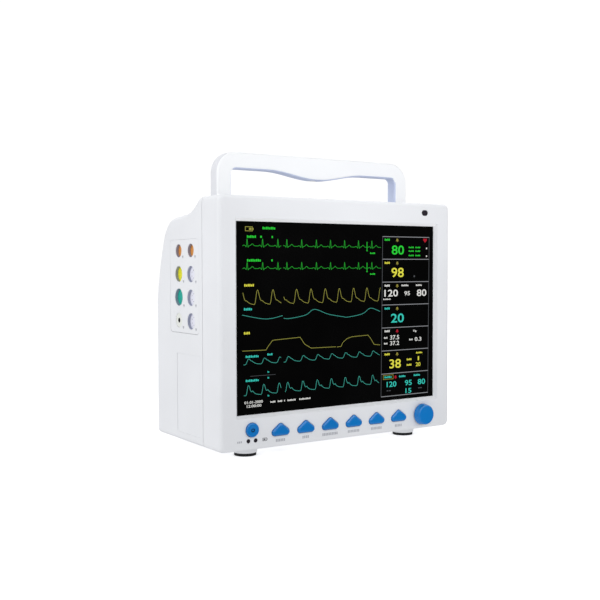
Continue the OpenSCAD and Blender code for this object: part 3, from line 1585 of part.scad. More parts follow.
module mains_inlet() {
  front = bay_floor + inlet_flange;
  color("#202020") placed() difference() {
    union() {
      slab(inlet_x, bay_floor, bay_z, inlet_w, inlet_h, inlet_flange);
      slab(inlet_x, front - mouth_depth - inlet_floor, bay_z, inlet_body_w, inlet_body_h, mouth_depth);
    }
    translate([inlet_x, front - mouth_depth, bay_z]) prism_y(mouth_depth + cut) mouth_outline();
  }
}

module inlet_pins() {
  back = bay_floor + inlet_flange - mouth_depth;
  color("silver") placed() for (i = [-1, 0, 1])
    slab(inlet_x + i * blade_pitch / 2, back, bay_z + (0.5 - abs(i)) * blade_step,
      blade_t, blade_w, mouth_depth - blade_short);
}

module fuse_caps() {
  front = bay_floor + fuse_cap_t;
  color("#202020") placed() for (s = [-1, 1]) {
    z = bay_z + s * fuse_pitch / 2;
    difference() {
      rod_y(fuse_x, z, fuse_r, bay_floor, front);
      block([fuse_x - fuse_r, front - coin_slot_depth, z - coin_slot_w / 2],
        [fuse_x + fuse_r, front + cut, z + coin_slot_w / 2]);
    }
    rod_y(fuse_x, z, holder_r, plate_d - holder_l, bay_floor + cut);
  }
}

module ground_post() {
  color("goldenrod") placed() {
    rod_y(ground_x, bay_z, nut_r, bay_floor, bay_floor + nut_t, $fn = 6);
    rod_y(ground_x, bay_z, ground_r, plate_d - ground_tail, bay_floor + nut_t + ground_l);
  }
}

module network_port() {
  front = bay_floor + port_flange_t;
  back = front - port_depth - port_floor;
  color("silver") placed() difference() {
    union() {
      slab(port_x, back, bay_z, port_body_w, port_body_h, front - back);
      slab(port_x, bay_floor, bay_z,
        port_body_w + 2 * port_flange, port_body_h + 2 * port_flange, port_flange_t);
    }
    slab(port_x, back + port_floor, bay_z, port_w, port_h, port_depth + cut);
  }
}

// Places of the four feet
module at_feet() {
  for (s = [-1, 1], d = [foot_front, body_d - foot_rear])
    translate([s * (side_x - foot_inset), d, 0]) children();
}

module feet() {
  color("whitesmoke") placed() at_feet() translate([0, 0, pad_t])
    cylinder(r1 = pad_r + foot_step, r2 = foot_r, h = foot_h - pad_t);
}

module foot_pads() {
  color("#101010") placed() at_feet() cylinder(r = pad_r, h = pad_t);
}

module housing_screws() {
  color("silver") placed() for (s = [-1, 1]) {
    rod_y(s * top_screw_x, top_screw_z, screw_r, front_boss_end - front_boss_l + cut, top_screw_seat + cut);
    rod_y(s * top_screw_x, top_screw_z, screw_head_r, top_screw_seat, top_screw_seat + screw_head_t);
    translate([s * low_screw_x, low_screw_d, floor_z + head_sink]) {
      cylinder(r = screw_r, h = wall + tab_t - cut);
      cylinder(r = screw_head_r, h = low_head_t);
    }
  }
}

front_housing();
rear_housing();
carry_handle();
handle_pins();
handle_washers();
display_window();
window_gasket();
lcd_panel();
lcd_bracket();
backlight_board();
key_board();
key_switches();
power_button();
key_1();
key_2();
key_3();
key_4();
key_5();
key_6();
encoder_body();
encoder_plunger();
encoder_shaft();
control_knob();
status_lights();
alarm_light();
sensor_panel();
temperature_sockets();
oximeter_socket();
ecg_socket();
pressure_sockets();
cuff_port();
parameter_board();
chassis();
main_board();
power_supply();
cuff_pump();
cuff_valve();
loudspeaker();
battery_pack();
battery_door();
door_screws();
connector_bay();
connector_plate();
mains_inlet();
inlet_pins();
fuse_caps();
ground_post();
network_port();
feet();
foot_pads();
housing_screws();
bracket_screws();
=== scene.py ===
# %% [markdown]
# # A bedside patient monitor
# The monitor stands on four feet: a white moulded housing round a flat screen, a carry handle on top,
# blue keys and a knob under the screen, and coloured sensor sockets on its left side.
# Its solids come from the CAD frame. This lesson gives them their finishes and adds what is printed
# or lit: the curves and numbers on the screen and the small marks beside the keys and sockets.

import json
import math

import bmesh
import bpy
from mathutils import Matrix, Vector


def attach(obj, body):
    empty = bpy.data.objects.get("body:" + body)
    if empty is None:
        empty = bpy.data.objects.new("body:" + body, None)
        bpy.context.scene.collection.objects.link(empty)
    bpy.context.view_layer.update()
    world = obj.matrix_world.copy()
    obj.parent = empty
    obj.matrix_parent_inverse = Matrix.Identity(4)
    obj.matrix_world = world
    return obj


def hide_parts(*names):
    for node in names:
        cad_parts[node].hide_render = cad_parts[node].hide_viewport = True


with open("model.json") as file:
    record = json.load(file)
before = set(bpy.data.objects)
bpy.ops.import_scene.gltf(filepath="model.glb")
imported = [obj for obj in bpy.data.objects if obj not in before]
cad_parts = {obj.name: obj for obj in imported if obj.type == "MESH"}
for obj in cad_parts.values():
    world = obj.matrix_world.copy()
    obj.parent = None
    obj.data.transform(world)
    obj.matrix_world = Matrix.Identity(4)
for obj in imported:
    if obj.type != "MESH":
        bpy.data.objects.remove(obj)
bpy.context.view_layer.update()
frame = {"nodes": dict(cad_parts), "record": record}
record = frame["record"]
mm = 0.001

# %% [markdown]
# ## Camera
# The camera looks at the screen from the viewer's left and only a little from above.
# Its place could be set by eye, but here it was worked out from the corners of the screen.
# So the code builds its axes from three angles and a distance instead of pointing it at an empty.

# %% Camera
azimuth = math.radians(-33.209)
elevation = math.radians(2.079)
roll = math.radians(-0.138)
aim = Vector((-51.76, -65.05, 154.90)) * mm
distance = 916.9 * mm
back = Vector(
    (
        math.sin(azimuth) * math.cos(elevation),
        -math.cos(azimuth) * math.cos(elevation),
        math.sin(elevation),
    )
)
level = Vector((0, 0, 1)).cross(back).normalized()
upright = back.cross(level)
right = level * math.cos(roll) + upright * math.sin(roll)
up = upright * math.cos(roll) - level * math.sin(roll)
lens = bpy.data.cameras.new("camera")
lens.lens = 54.64
lens.sensor_width = 36
lens.clip_start = 0.01
camera = bpy.data.objects.new("camera", lens)
axes = Matrix((right, up, back)).transposed().to_4x4()
camera.matrix_world = Matrix.Translation(aim + back * distance) @ axes
bpy.context.scene.collection.objects.link(camera)
bpy.context.scene.camera = camera
print("camera at", [round(c, 3) for c in camera.matrix_world.translation])

# %% [markdown]
# ## Floor
# A product is shown on a white sweep of paper. One could leave the floor out, but then the feet would
# hang in the air, so a pale floor keeps a soft shadow under them. It throws no light back on the housing,
# because the sky below does that evenly.

# %% Floor
half_floor = 9
floor_mesh = bpy.data.meshes.new("floor")
corners = [(-half_floor, -half_floor, 0), (half_floor, -half_floor, 0), (half_floor, half_floor, 0),
           (-half_floor, half_floor, 0)]
floor_mesh.from_pydata(corners, [], [(0, 1, 2, 3)])
floor = bpy.data.objects.new("floor", floor_mesh)
bpy.context.scene.collection.objects.link(floor)
floor.visible_diffuse = False
floor.visible_glossy = False
print("floor ready")

# %% [markdown]
# ## Sky
# The camera sees plain white. As a light the sky is softer, and a little brighter from below,
# like the bounce of a white table, so that the lamps can shape the housing.
# In mirrors it is another sky: bright overhead, which gives the edges their highlights, and dark
# where the screen mirrors it to the viewer. A photographer hangs a black cloth there for the same end.


# %% Sky
def remap(tree, source, start, end, low, high):
    """Turns values from start to end into values from low to high."""
    scale = tree.nodes.new("ShaderNodeMapRange")
    for name, value in (("From Min", start), ("From Max", end), ("To Min", low), ("To Max", high)):
        scale.inputs[name].default_value = value
    tree.links.new(source, scale.inputs["Value"])
    return scale.outputs["Result"]


world = bpy.data.worlds.new("studio")
bpy.context.scene.world = world
world.use_nodes = True
sky_tree = world.node_tree
direction = sky_tree.nodes.new("ShaderNodeTexCoord").outputs["Generated"]
parts = sky_tree.nodes.new("ShaderNodeSeparateXYZ")
sky_tree.links.new(direction, parts.inputs["Vector"])
bands = sky_tree.nodes.new("ShaderNodeValToRGB")
stops = bands.color_ramp.elements
stops[0].position, stops[1].position = 0.2, 0.95
for place in (0.6, 0.76):
    stops.new(place)
for stop, strength in zip(stops, (1.04, 0.7, 0.7, 0.5)):
    stop.color = (strength, strength, strength, 1)
sky_tree.links.new(remap(sky_tree, parts.outputs["Z"], -1.0, 1.0, 0.0, 1.0), bands.inputs["Fac"])
overhead = remap(sky_tree, parts.outputs["Z"], 0.15, 0.9, 0.45, 3.0)
toward = sky_tree.nodes.new("ShaderNodeVectorMath")
toward.operation = "DOT_PRODUCT"
toward.inputs[1].default_value = (0.5, -0.86, 0)
sky_tree.links.new(direction, toward.inputs[0])
cloth = remap(sky_tree, toward.outputs["Value"], 0.6, 0.95, 1.0, 0.1)
mirrored = sky_tree.nodes.new("ShaderNodeMath")
mirrored.operation = "MULTIPLY"
sky_tree.links.new(overhead, mirrored.inputs[0])
sky_tree.links.new(cloth, mirrored.inputs[1])
print("sky nodes:", len(sky_tree.nodes))

# %% Sky for each kind of ray
path = sky_tree.nodes.new("ShaderNodeLightPath")
brightness = sky_tree.nodes.new("ShaderNodeMix")
sky_tree.links.new(path.outputs["Is Glossy Ray"], brightness.inputs["Factor"])
sky_tree.links.new(bands.outputs["Color"], brightness.inputs["A"])
sky_tree.links.new(mirrored.outputs["Value"], brightness.inputs["B"])
sky = sky_tree.nodes["Background"]
sky.inputs["Color"].default_value = (0.975, 0.985, 1.0, 1)
sky_tree.links.new(brightness.outputs["Result"], sky.inputs["Strength"])
seen = sky_tree.nodes.new("ShaderNodeBackground")
seen.inputs["Color"].default_value = (1, 1, 1, 1)
seen.inputs["Strength"].default_value = 1.05
choose = sky_tree.nodes.new("ShaderNodeMixShader")
sky_tree.links.new(path.outputs["Is Camera Ray"], choose.inputs["Fac"])
sky_tree.links.new(sky.outputs["Background"], choose.inputs[1])
sky_tree.links.new(seen.outputs["Background"], choose.inputs[2])
sky_tree.links.new(choose.outputs["Shader"], sky_tree.nodes["World Output"].inputs["Surface"])
bpy.context.scene.view_settings.view_transform = "Standard"
print("world ready:", len(sky_tree.links), "links")

# %% [markdown]
# ## Lamps
# A white product is lit by large soft lights, so that its faces differ by a shade and no hard shadow falls.
# One strong lamp would be simpler, but it would burn out the top edge.
# So a small lamp stands low before the screen, where it reaches the front face and the slopes round the
# window alike. It is hidden from the camera and from mirrors, so that the screen stays black.


# %% Lamps
def soft_lamp(name, place, target, size, watts):
    """A round area lamp that points at a target."""
    lamp = bpy.data.lights.new(name, "AREA")
    lamp.shape = "DISK"
    lamp.size = size
    lamp.energy = watts
    holder = bpy.data.objects.new(name, lamp)
    holder.location = place
    holder.rotation_euler = (Vector(target) - Vector(place)).to_track_quat("-Z", "Y").to_euler()
    bpy.context.scene.collection.objects.link(holder)
    return holder


middle = (0, 0, 0.15)
front_box = soft_lamp("front_box", (0.03, -0.38, 0.32), (0.02, -0.07, 0.245), 0.35, 0.47)
front_box.visible_glossy = False
front_box.visible_camera = False
soft_lamp("left_box", (-1.4, 0.1, 0.7), middle, 0.9, 7)
soft_lamp("top_box", (-0.05, -0.1, 1.2), middle, 0.26, 0.4)
soft_lamp("rear_box", (1.2, 1.6, 1.4), middle, 1.2, 3)

# %% [markdown]
# ## Finishes
# Nearly everything here is moulded plastic. Real mouldings are never one flat colour: the steel mould
# leaves a fine grain, the gloss wanders a little, and edges catch the light.
# A photo texture could show that, but nodes need no image and stay sharp at any distance.
# One builder makes the plastics: a fine noise for grain, a broad one for tone, a third for gloss.

# %% How a plastic is built
finishes = {}


def tone(r, g, b):
    """Turns screen values from 0 to 255 into Blender's linear colour."""
    shares = [c / 255 for c in (r, g, b)]
    return tuple(c / 12.92 if c < 0.0404 else ((c + 0.055) / 1.055) ** 2.4 for c in shares) + (1.0,)


def shader_of(material):
    """The node that all other nodes of a material lead to."""
    return material.node_tree.nodes["Principled BSDF"]


def noise(tree, scale, detail=2.0):
    """A cloud fixed to the object."""
    where = tree.nodes.get("where") or tree.nodes.new("ShaderNodeTexCoord")
    where.name = "where"
    cloud = tree.nodes.new("ShaderNodeTexNoise")
    cloud.inputs["Scale"].default_value = scale
    cloud.inputs["Detail"].default_value = detail
    tree.links.new(where.outputs["Object"], cloud.inputs["Vector"])
    return cloud


def blend(tree, cloud, low, high, start=0.3, end=0.7):
    """A colour that goes from low to high with a cloud."""
    ramp = tree.nodes.new("ShaderNodeValToRGB")
    for stop, place, colour in zip(ramp.color_ramp.elements, (start, end), (low, high)):
        stop.position = place
        stop.color = colour
    tree.links.new(cloud.outputs["Fac"], ramp.inputs["Fac"])
    return ramp.outputs["Color"]


def spread(tree, cloud, low, high):
    """A value that goes from low to high with a cloud."""
    return remap(tree, cloud.outputs["Fac"], 0.3, 0.7, low, high)


def plastic(name, dark, light, gloss, grain, depth, edge, metallic=0.0):
    """A moulded plastic: broad change of tone, wandering gloss, fine grain and softened edges."""
    material = bpy.data.materials.new(name)
    material.use_nodes = True
    tree = material.node_tree
    shader = shader_of(material)
    shader.inputs["Metallic"].default_value = metallic
    tree.links.new(blend(tree, noise(tree, 14), tone(*dark), tone(*light)), shader.inputs["Base Color"])
    tree.links.new(spread(tree, noise(tree, 90), *gloss), shader.inputs["Roughness"])
    bump = tree.nodes.new("ShaderNodeBump")
    bump.inputs["Strength"].default_value = 0.5
    bump.inputs["Distance"].default_value = depth * mm
    tree.links.new(noise(tree, grain, 3).outputs["Fac"], bump.inputs["Height"])
    if edge:
        soft = tree.nodes.new("ShaderNodeBevel")
        soft.samples = 4
        soft.inputs["Radius"].default_value = edge * mm
        tree.links.new(soft.outputs["Normal"], bump.inputs["Normal"])
    tree.links.new(bump.outputs["Normal"], shader.inputs["Normal"])
    finishes[name] = material
    return material


print("builders ready")

# %% Plastics
satin, smooth, shiny = (0.42, 0.52), (0.5, 0.6), (0.3, 0.4)
# name, darker and lighter tone, gloss, scale of the grain, its depth and the edge's radius in millimetres
plastics = (
    ("pale_floor", (240, 240, 241), (243, 243, 244), (0.8, 0.9), 60, 0.05, 0),
    ("housing_white", (228, 229, 232), (232, 233, 236), satin, 1700, 0.012, 0.5),
    # whiter painted light for the slope over the window
    ("slope_painted_light", (250, 250, 252), (253, 253, 254), satin, 1700, 0.012, 0.5),
    ("handle_white", (246, 247, 249), (250, 251, 252), smooth, 900, 0.004, 0.3),
    # greyer painted shade for the outer sides of the handle's legs
    ("handle_painted_shade_grey", (219, 220, 224), (223, 224, 228), smooth, 900, 0.004, 0.3),
    # pale blue painted shade for the underside of the handle's grip and the inner sides of its legs
    ("handle_painted_shade_blue", (197, 206, 232), (203, 212, 236), smooth, 900, 0.004, 0.3),
    ("key_blue", (0, 114, 192), (0, 122, 202), (0.16, 0.22), 1100, 0.006, 0.6),
    ("lens_dark", (42, 38, 45), (58, 52, 60), (0.1, 0.16), 700, 0.003, 0.6),
    ("socket_orange", (212, 138, 60), (222, 150, 74), shiny, 1300, 0.006, 0.2),
    ("socket_yellow", (226, 222, 18), (236, 232, 40), shiny, 1300, 0.006, 0.2),
    ("socket_teal", (14, 164, 146), (26, 178, 160), shiny, 1300, 0.006, 0.2),
    ("socket_white", (228, 228, 240), (236, 236, 246), shiny, 1300, 0.006, 0.2),
    ("port_pale", (226, 228, 222), (234, 236, 230), shiny, 1300, 0.006, 0.2),
    ("part_black", (34, 34, 37), (42, 42, 46), (0.45, 0.6), 1500, 0.015, 0.3),
    ("rubber_black", (20, 20, 22), (28, 28, 30), (0.7, 0.85), 800, 0.05, 0.4),
    ("foam_black", (28, 28, 28), (40, 40, 40), (0.9, 0.98), 500, 0.2, 0),
    ("display_black", (16, 16, 18), (22, 22, 24), (0.2, 0.3), 600, 0.004, 0),
    # grey painted shade for the far walls of the socket recesses
    ("recess_painted_shade_grey", (148, 153, 173), (162, 167, 187), (0.35, 0.5), 1200, 0.006, 0.1),
    # dark painted shade for the pin holes in the sockets
    ("pin_hole_painted_shade", (96, 92, 92), (116, 112, 112), shiny, 900, 0.003, 0),
    ("ink_grey", (170, 171, 177), (186, 187, 193), smooth, 900, 0.003, 0),
    ("ink_dark", (70, 71, 80), (86, 87, 96), smooth, 900, 0.003, 0),
    ("sign_blue", (0, 26, 60), (0, 32, 70), shiny, 900, 0.003, 0),
)
for row in plastics:
    plastic(*row)
shader_of(finishes["handle_white"]).inputs["Specular IOR Level"].default_value = 0.2
paper = shader_of(finishes["pale_floor"])
paper.inputs["Emission Color"].default_value = (1, 1, 1, 1)
paper.inputs["Emission Strength"].default_value = 0.5
paper.inputs["Specular IOR Level"].default_value = 0.1
floor_mesh.materials.append(finishes["pale_floor"])
print("plastics:", len(plastics))

# %% [markdown]
# ## Metals and boards
# The screws, pins, plates and boards are mostly inside, yet they show when the part is opened.
# Turned and rolled metal has fine lines along one direction. Anisotropy could fake them,
# but a noise that is stretched along one axis shows real scratches, so that is used here.


# %% Metals and boards
def metal(name, dark, light, gloss):
    """The nodes of a plastic with full metal, and with a gloss drawn out into lines along X."""
    material = plastic(name, dark, light, gloss, 700, 0.004, 0.2, metallic=1.0)
    tree = material.node_tree
    pull = tree.nodes.new("ShaderNodeMapping")
    pull.inputs["Scale"].default_value = (40, 900, 900)
    tree.links.new(tree.nodes["where"].outputs["Object"], pull.inputs["Vector"])
    lines = noise(tree, 1.0, 4)
    tree.links.new(pull.outputs["Vector"], lines.inputs["Vector"])
    tree.links.new(spread(tree, lines, *gloss), shader_of(material).inputs["Roughness"])


def board(name):
    """Green lacquer with paler tracks, like bricks with thin joints."""
    material = plastic(name, (16, 82, 44), (24, 98, 54), (0.3, 0.42), 1200, 0.01, 0)
    tree = material.node_tree
    tracks = tree.nodes.new("ShaderNodeTexBrick")
    tracks.inputs["Color1"].default_value = tone(18, 86, 46)
    tracks.inputs["Color2"].default_value = tone(24, 100, 56)
    tracks.inputs["Mortar"].default_value = tone(40, 124, 70)
    tracks.inputs["Scale"].default_value = 60
    tracks.inputs["Mortar Size"].default_value = 0.03
    turn = tree.nodes.new("ShaderNodeMapping")
    turn.inputs["Rotation"].default_value = (math.pi / 2, 0, 0)
    tree.links.new(tree.nodes["where"].outputs["Object"], turn.inputs["Vector"])
    tree.links.new(turn.outputs["Vector"], tracks.inputs["Vector"])
    tree.links.new(tracks.outputs["Color"], shader_of(material).inputs["Base Color"])


metal("steel", (196, 198, 202), (212, 214, 218), (0.2, 0.34))
metal("sheet_steel", (188, 190, 194), (206, 208, 212), (0.3, 0.45))
metal("aluminium", (202, 204, 208), (218, 220, 224), (0.34, 0.48))
metal("brass", (206, 170, 98), (222, 188, 116), (0.18, 0.3))
board("board_green")
print("finishes:", len(finishes))

# %% [markdown]
# ## Window
# The window is a dark clear sheet in front of the display. Its own gloss would mirror the white studio
# and turn the black picture grey, so its mirror strength is kept low, like a coated anti-glare sheet.
# A faint cloudy change of gloss stands for the wipe marks that every ward screen has.

# %% Window glass
window_clear = bpy.data.materials.new("window_clear")
window_clear.use_nodes = True
glass_tree = window_clear.node_tree
glass = shader_of(window_clear)
glass.inputs["Specular IOR Level"].default_value = 0.1
depths = blend(glass_tree, noise(glass_tree, 10), tone(5, 5, 5), tone(8, 8, 8))
glass_tree.links.new(depths, glass.inputs["Base Color"])
wiped = spread(glass_tree, noise(glass_tree, 35, 5), 0.12, 0.3)
glass_tree.links.new(wiped, glass.inputs["Roughness"])
finishes["window_clear"] = window_clear
print("window glass ready")

# %% [markdown]
# ## Skins
# The CAD solids have the right shapes, but a mesh of flat facets shows every facet on a round edge.
# Subdividing would swell the shapes. Instead each visible solid gets a copy with merged corners,
# smooth faces, and sharp marks only where two faces meet at a clear angle.
# A weighted-normal modifier then keeps the large flat faces flat.

# %% Dress the solids
slot_of = {part["node"]: part["material_slot"] for part in record["subparts"]}
body_of = {node: body for body, nodes in record["behaviour"]["bodies"].items() for node in nodes}
clear_angle = math.radians(30)
skins = {}


def shade_smooth(work):
    """Smooth faces, with sharp marks where two faces meet at a clear angle."""
    for face in work.faces:
        face.smooth = True
    for rim in work.edges:
        rim.smooth = rim.calc_face_angle(math.pi) < clear_angle


def dress(node):
    """A copy of a CAD solid with smooth shading, which rides on the same body and stands for it."""
    source = frame["nodes"][node]
    work = bmesh.new()
    work.from_mesh(source.data)
    bmesh.ops.remove_doubles(work, verts=work.verts, dist=2e-6)
    work.verts.index_update()
    mesh = bpy.data.meshes.new(node + "_skin")
    # Only places and faces are copied, so no stored normals of the solid come along.
    mesh.from_pydata([v.co[:] for v in work.verts], [], [[v.index for v in f.verts] for f in work.faces])
    work.free()
    work = bmesh.new()
    work.from_mesh(mesh)
    shade_smooth(work)
    work.to_mesh(mesh)
    work.free()
    mesh.materials.append(finishes[slot_of[node]])
    skin = bpy.data.objects.new(node + "_skin", mesh)
    bpy.context.scene.collection.objects.link(skin)
    skin.matrix_world = source.matrix_world.copy()
    even = skin.modifiers.new("even_shading", "WEIGHTED_NORMAL")
    even.keep_sharp = True
    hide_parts(node)
    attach(skin, body_of[node])
    skins[node] = skin


flat_nodes = {"display_window", "window_gasket", "lcd_panel", "key_board", "parameter_board", "battery_pack"}
for node, solid in frame["nodes"].items():
    if node in flat_nodes:
        solid.data.materials.clear()
        solid.data.materials.append(finishes[slot_of[node]])
    else:
        dress(node)
print("skins:", len(skins))

# %% [markdown]
# ## Corrections to two skins
# The handle's grip is a little thicker than its solid, and the panel fits its opening so closely that only
# its lower seam shows. A lattice could bend the copies, but a few of their points moved by name of place
# do the same: the lower half of the grip goes down, and the panel's upper and front corners go outwards.

# %% Corrections
grip_drop = 2.1 * mm
grip_end, grip_under, grip_middle = 109.5 * mm, 282.5 * mm, 297 * mm
for point in skins["carry_handle"].data.vertices:
    if abs(point.co.x) < grip_end and grip_under < point.co.z < grip_middle:
        point.co.z -= grip_drop

seam_closed = 0.22 * mm
panel_face, panel_rim = -145.95 * mm, -145 * mm
front_edge, rear_edge = -21.8 * mm, 32.7 * mm
lower_edge, upper_edge = 127 * mm, 211 * mm
moved = 0
for point in skins["sensor_panel"].data.vertices:
    point.co.x = max(point.co.x, panel_face)
    at_front, at_rear = point.co.y < front_edge, point.co.y > rear_edge
    at_top, at_bottom = point.co.z > upper_edge, point.co.z < lower_edge
    if point.co.x < panel_rim and (at_top and at_rear or at_front and (at_top or at_bottom)):
        point.co.y += seam_closed if at_rear else -seam_closed
        point.co.z += seam_closed if at_top else 0
        moved += 1
print("panel points moved:", moved)

# %% [markdown]
# ## Softer keys
# The keys are pillows with round corners. Their solids have tighter corners and a narrow edge, so each point
# of a key's cap is set out again from its nearest corner: the corners stand closer together with a larger
# radius, and the edge's quarter circle becomes a wide quarter ellipse. The holes in the front follow along.

# %% Softer keys
key_places = [(-77.75 + 30.1 * n, 21.1) for n in range(6)]
old_corners = ((-7.9, 2.8), (7.9, 2.8), (0, 9.4))
new_corners = ((-6.7, 3.5), (6.7, 3.5), (0, 8.7))
old_radius, new_radius = 2.8, 3.5
old_edge, edge_in, edge_deep = 1.2, 2.9, 2.3
key_top, wall_back = -71.65, -66.05
hole_gap = 0.35
close, touching = 0.1, 0.02


def from_corner(point, place):
    """Number of the key's corner next to a point, and the way from it in millimetres."""
    x, z = point.co.x / mm - place[0], point.co.z / mm - place[1]
    ways = [Vector((x - corner[0], z - corner[1])) for corner in old_corners]
    nearest = min(range(3), key=lambda i: ways[i].length)
    return nearest, ways[nearest]


def set_out(point, place, corner, way):
    """Puts a point at a way from the new corner of a key."""
    point.co.x = (place[0] + new_corners[corner][0] + way.x) * mm
    point.co.z = (place[1] + new_corners[corner][1] + way.y) * mm


hole_points = 0
for n, place in enumerate(key_places):
    for point in skins["key_%d" % (n + 1)].data.vertices:
        corner, way = from_corner(point, place)
        depth = point.co.y / mm
        behind = depth > wall_back + close
        neck = depth > wall_back - close and way.length < old_radius - close
        if behind or neck:
            continue
        rise = min(max((key_top + old_edge - depth) / old_edge, 0), 1)
        inset = edge_in * (1 - math.sqrt(1 - rise * rise))
        set_out(point, place, corner, way.normalized() * (new_radius - inset))
        if depth < wall_back - close:
            point.co.y = (key_top + edge_deep * (1 - rise)) * mm
    for point in skins["front_housing"].data.vertices:
        corner, way = from_corner(point, place)
        on_rim = abs(way.length - old_radius - hole_gap) < touching
        if on_rim and point.co.y < (wall_back + close) * mm:
            set_out(point, place, corner, way.normalized() * (new_radius + hole_gap))
            hole_points += 1
print("points of the key holes:", hole_points)

# %% [markdown]
# ## Painted light and shade
# Some faces of one moulding get painted light and shade: a pale blue painted shade on the inside of the
# handle, a greyer painted shade on the outer sides of its legs, and a painted light that makes the slope over
# the window lighter than the front. They could be masked by noise or by height in the nodes, but a face knows
# its own direction, so each gets its finish by that.


# %% Painted light and shade
def handle_shade_within(centre, normal):
    """The underside of the grip, and the sides of the legs that look at each other, which get a painted shade.
    """
    return normal.z < -0.6 or centre.x * normal.x < 0 and abs(normal.x) > 0.7


def handle_shade_without(centre, normal):
    """The outer sides of the legs, which get a painted shade."""
    return centre.x * normal.x > 0 and abs(normal.x) > 0.35 and abs(normal.y) < 0.7


def slope_painted_light_faces(centre, normal):
    """The faces over the window that look down and forward, which get a painted light."""
    return normal.z < -0.2 and normal.y < -0.2 and 232 * mm < centre.z < 240 * mm


def paint_light_and_shade(node, finish, wanted):
    """Gives some faces of a skin another finish that paints light and shade on them."""
    mesh = skins[node].data
    mesh.materials.append(finishes[finish])
    chosen = [face for face in mesh.polygons if wanted(face.center, face.normal)]
    for face in chosen:
        face.material_index = len(mesh.materials) - 1
    print(node, finish, len(chosen), "faces")


paint_light_and_shade("carry_handle", "handle_painted_shade_blue", handle_shade_within)
paint_light_and_shade("carry_handle", "handle_painted_shade_grey", handle_shade_without)
paint_light_and_shade("front_housing", "slope_painted_light", slope_painted_light_faces)

# %% [markdown]
# ## Thin pieces
# What is printed or lit has hardly any height. An image texture could hold it, but it would blur up close.
# So every line and mark is a closed mesh, no more than a tenth of a millimetre thick.
# A few helpers make them: a plate from an outline, a frame from two, and a strip from rings of four corners.
# The function place of each surface turns two coordinates into a point before or behind its face.


# %% Plates, frames and strips
def circle(u, v, r, count):
    """Points round a centre."""
    turns = [2 * math.pi * i / count for i in range(count)]
    return [(u + r * math.cos(t), v + r * math.sin(t)) for t in turns]


def box(u0, v0, u1, v1):
    """The four corners of an upright box."""
    return [(u0, v0), (u1, v0), (u1, v1), (u0, v1)]


def plate(work, place, outline):
    """A closed plate with this outline."""
    front = [work.verts.new(place(u, v, True)) for u, v in outline]
    rear = [work.verts.new(place(u, v, False)) for u, v in outline]
    work.faces.new(front)
    work.faces.new(rear[::-1])
    for i in range(len(front)):
        j = (i + 1) % len(front)
        work.faces.new((front[i], rear[i], rear[j], front[j]))


def join_rings(work, rings, loop):
    """Joins rings of four corners, as a loop or as a strip with two ends."""
    following = rings[1:] + rings[:1] if loop else rings[1:]
    for one, two in zip(rings, following):
        for k in range(4):
            work.faces.new((one[k], one[(k + 1) % 4], two[(k + 1) % 4], two[k]))
    if not loop:
        work.faces.new(rings[0][::-1])
        work.faces.new(rings[-1])


def closed_frame(work, place, u0, v0, u1, v1, line):
    """A flat frame with lines of one width."""
    outside = box(u0, v0, u1, v1)
    inside = box(u0 + line, v0 + line, u1 - line, v1 - line)
    loops = ((outside, True), (inside, True), (inside, False), (outside, False))
    rings = [[work.verts.new(place(u, v, front)) for u, v in loop] for loop, front in loops]
    join_rings(work, rings, True)


def piece_of(work, name, material, rounded_off=False, body="monitor"):
    """Turns finished work into a piece that rides on a body."""
    bmesh.ops.recalc_face_normals(work, faces=work.faces)
    if rounded_off:
        shade_smooth(work)
    mesh = bpy.data.meshes.new(name)
    work.to_mesh(mesh)
    work.free()
    mesh.materials.append(material)
    made = bpy.data.objects.new(name, mesh)
    bpy.context.scene.collection.objects.link(made)
    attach(made, body)


print("helpers ready")

# %% [markdown]
# ## Drawing on the screen
# The picture is light on glass, so each curve is a ribbon a tenth of a millimetre in front of it.
# Places are given as on a drawing: u to the right and v down, in millimetres from the window's corner.
# A ribbon turns at each point by half the bend, so that it keeps its width round the peaks.

# %% Ribbons and captions
glass_y = -65.05
near, far = (glass_y - 0.11) * mm, (glass_y - 0.03) * mm
window_left, window_top = -125.0, 232.5
hairpin, steepest, widest = 0.2, 0.4, 1.5


def on_glass(u, v, front):
    """A point of the drawing, on the near or the far side of its lines."""
    return (u + window_left) * mm, near if front else far, (window_top - v) * mm


def ribbon(work, points, width=0.8):
    """A closed flat strip along points, the same width all along."""
    line = [Vector(on_glass(u, v, True)).xz for u, v in points]
    rings = []
    for i, p in enumerate(line):
        before = (p - line[i - 1]).normalized() if i else (line[1] - p).normalized()
        after = (line[i + 1] - p).normalized() if i + 1 < len(line) else before
        run = before + after
        square = Vector((-before.y, before.x))
        across = Vector((-run.y, run.x)) if run.length > hairpin else square.copy()
        across.normalize()
        half = min(1 / max(abs(across.dot(square)), steepest), widest) * width * mm / 2
        a, b = p + across * half, p - across * half
        around = ((a, far), (b, far), (b, near), (a, near))
        rings.append([work.verts.new((q.x, y, q.y)) for q, y in around])
    join_rings(work, rings, False)


def tile(work, u0, v0, u1, v1):
    plate(work, on_glass, box(u0, v0, u1, v1))


def caption(work, u0, u1, v, height=2.0, pitch=1.9):
    """A short row of small blocks, where a screen has a caption. Every third block is shorter."""
    count = max(1, round((u1 - u0) / pitch))
    step = (u1 - u0) / count
    for i in range(count):
        top = v - height / 2 + (0.45 if i % 3 == 1 else 0)
        tile(work, u0 + i * step, top, u0 + (i + 0.72) * step, v + height / 2)


colours = ("green", "yellow", "teal", "white", "grey", "dim", "red", "olive", "leaf", "amber", "sea")
layers = {colour: bmesh.new() for colour in colours}
print("layers:", list(layers))

# %% [markdown]
# ## Curves
# Each row shows one body signal. A heartbeat's trace is a few bumps that repeat, so a sum of bell curves
# draws it. Pressure and pulse waves are drawn from a handful of points per beat, rounded off by a
# Catmull-Rom curve, because a beat shaped from listed points looks truer than any simple formula.

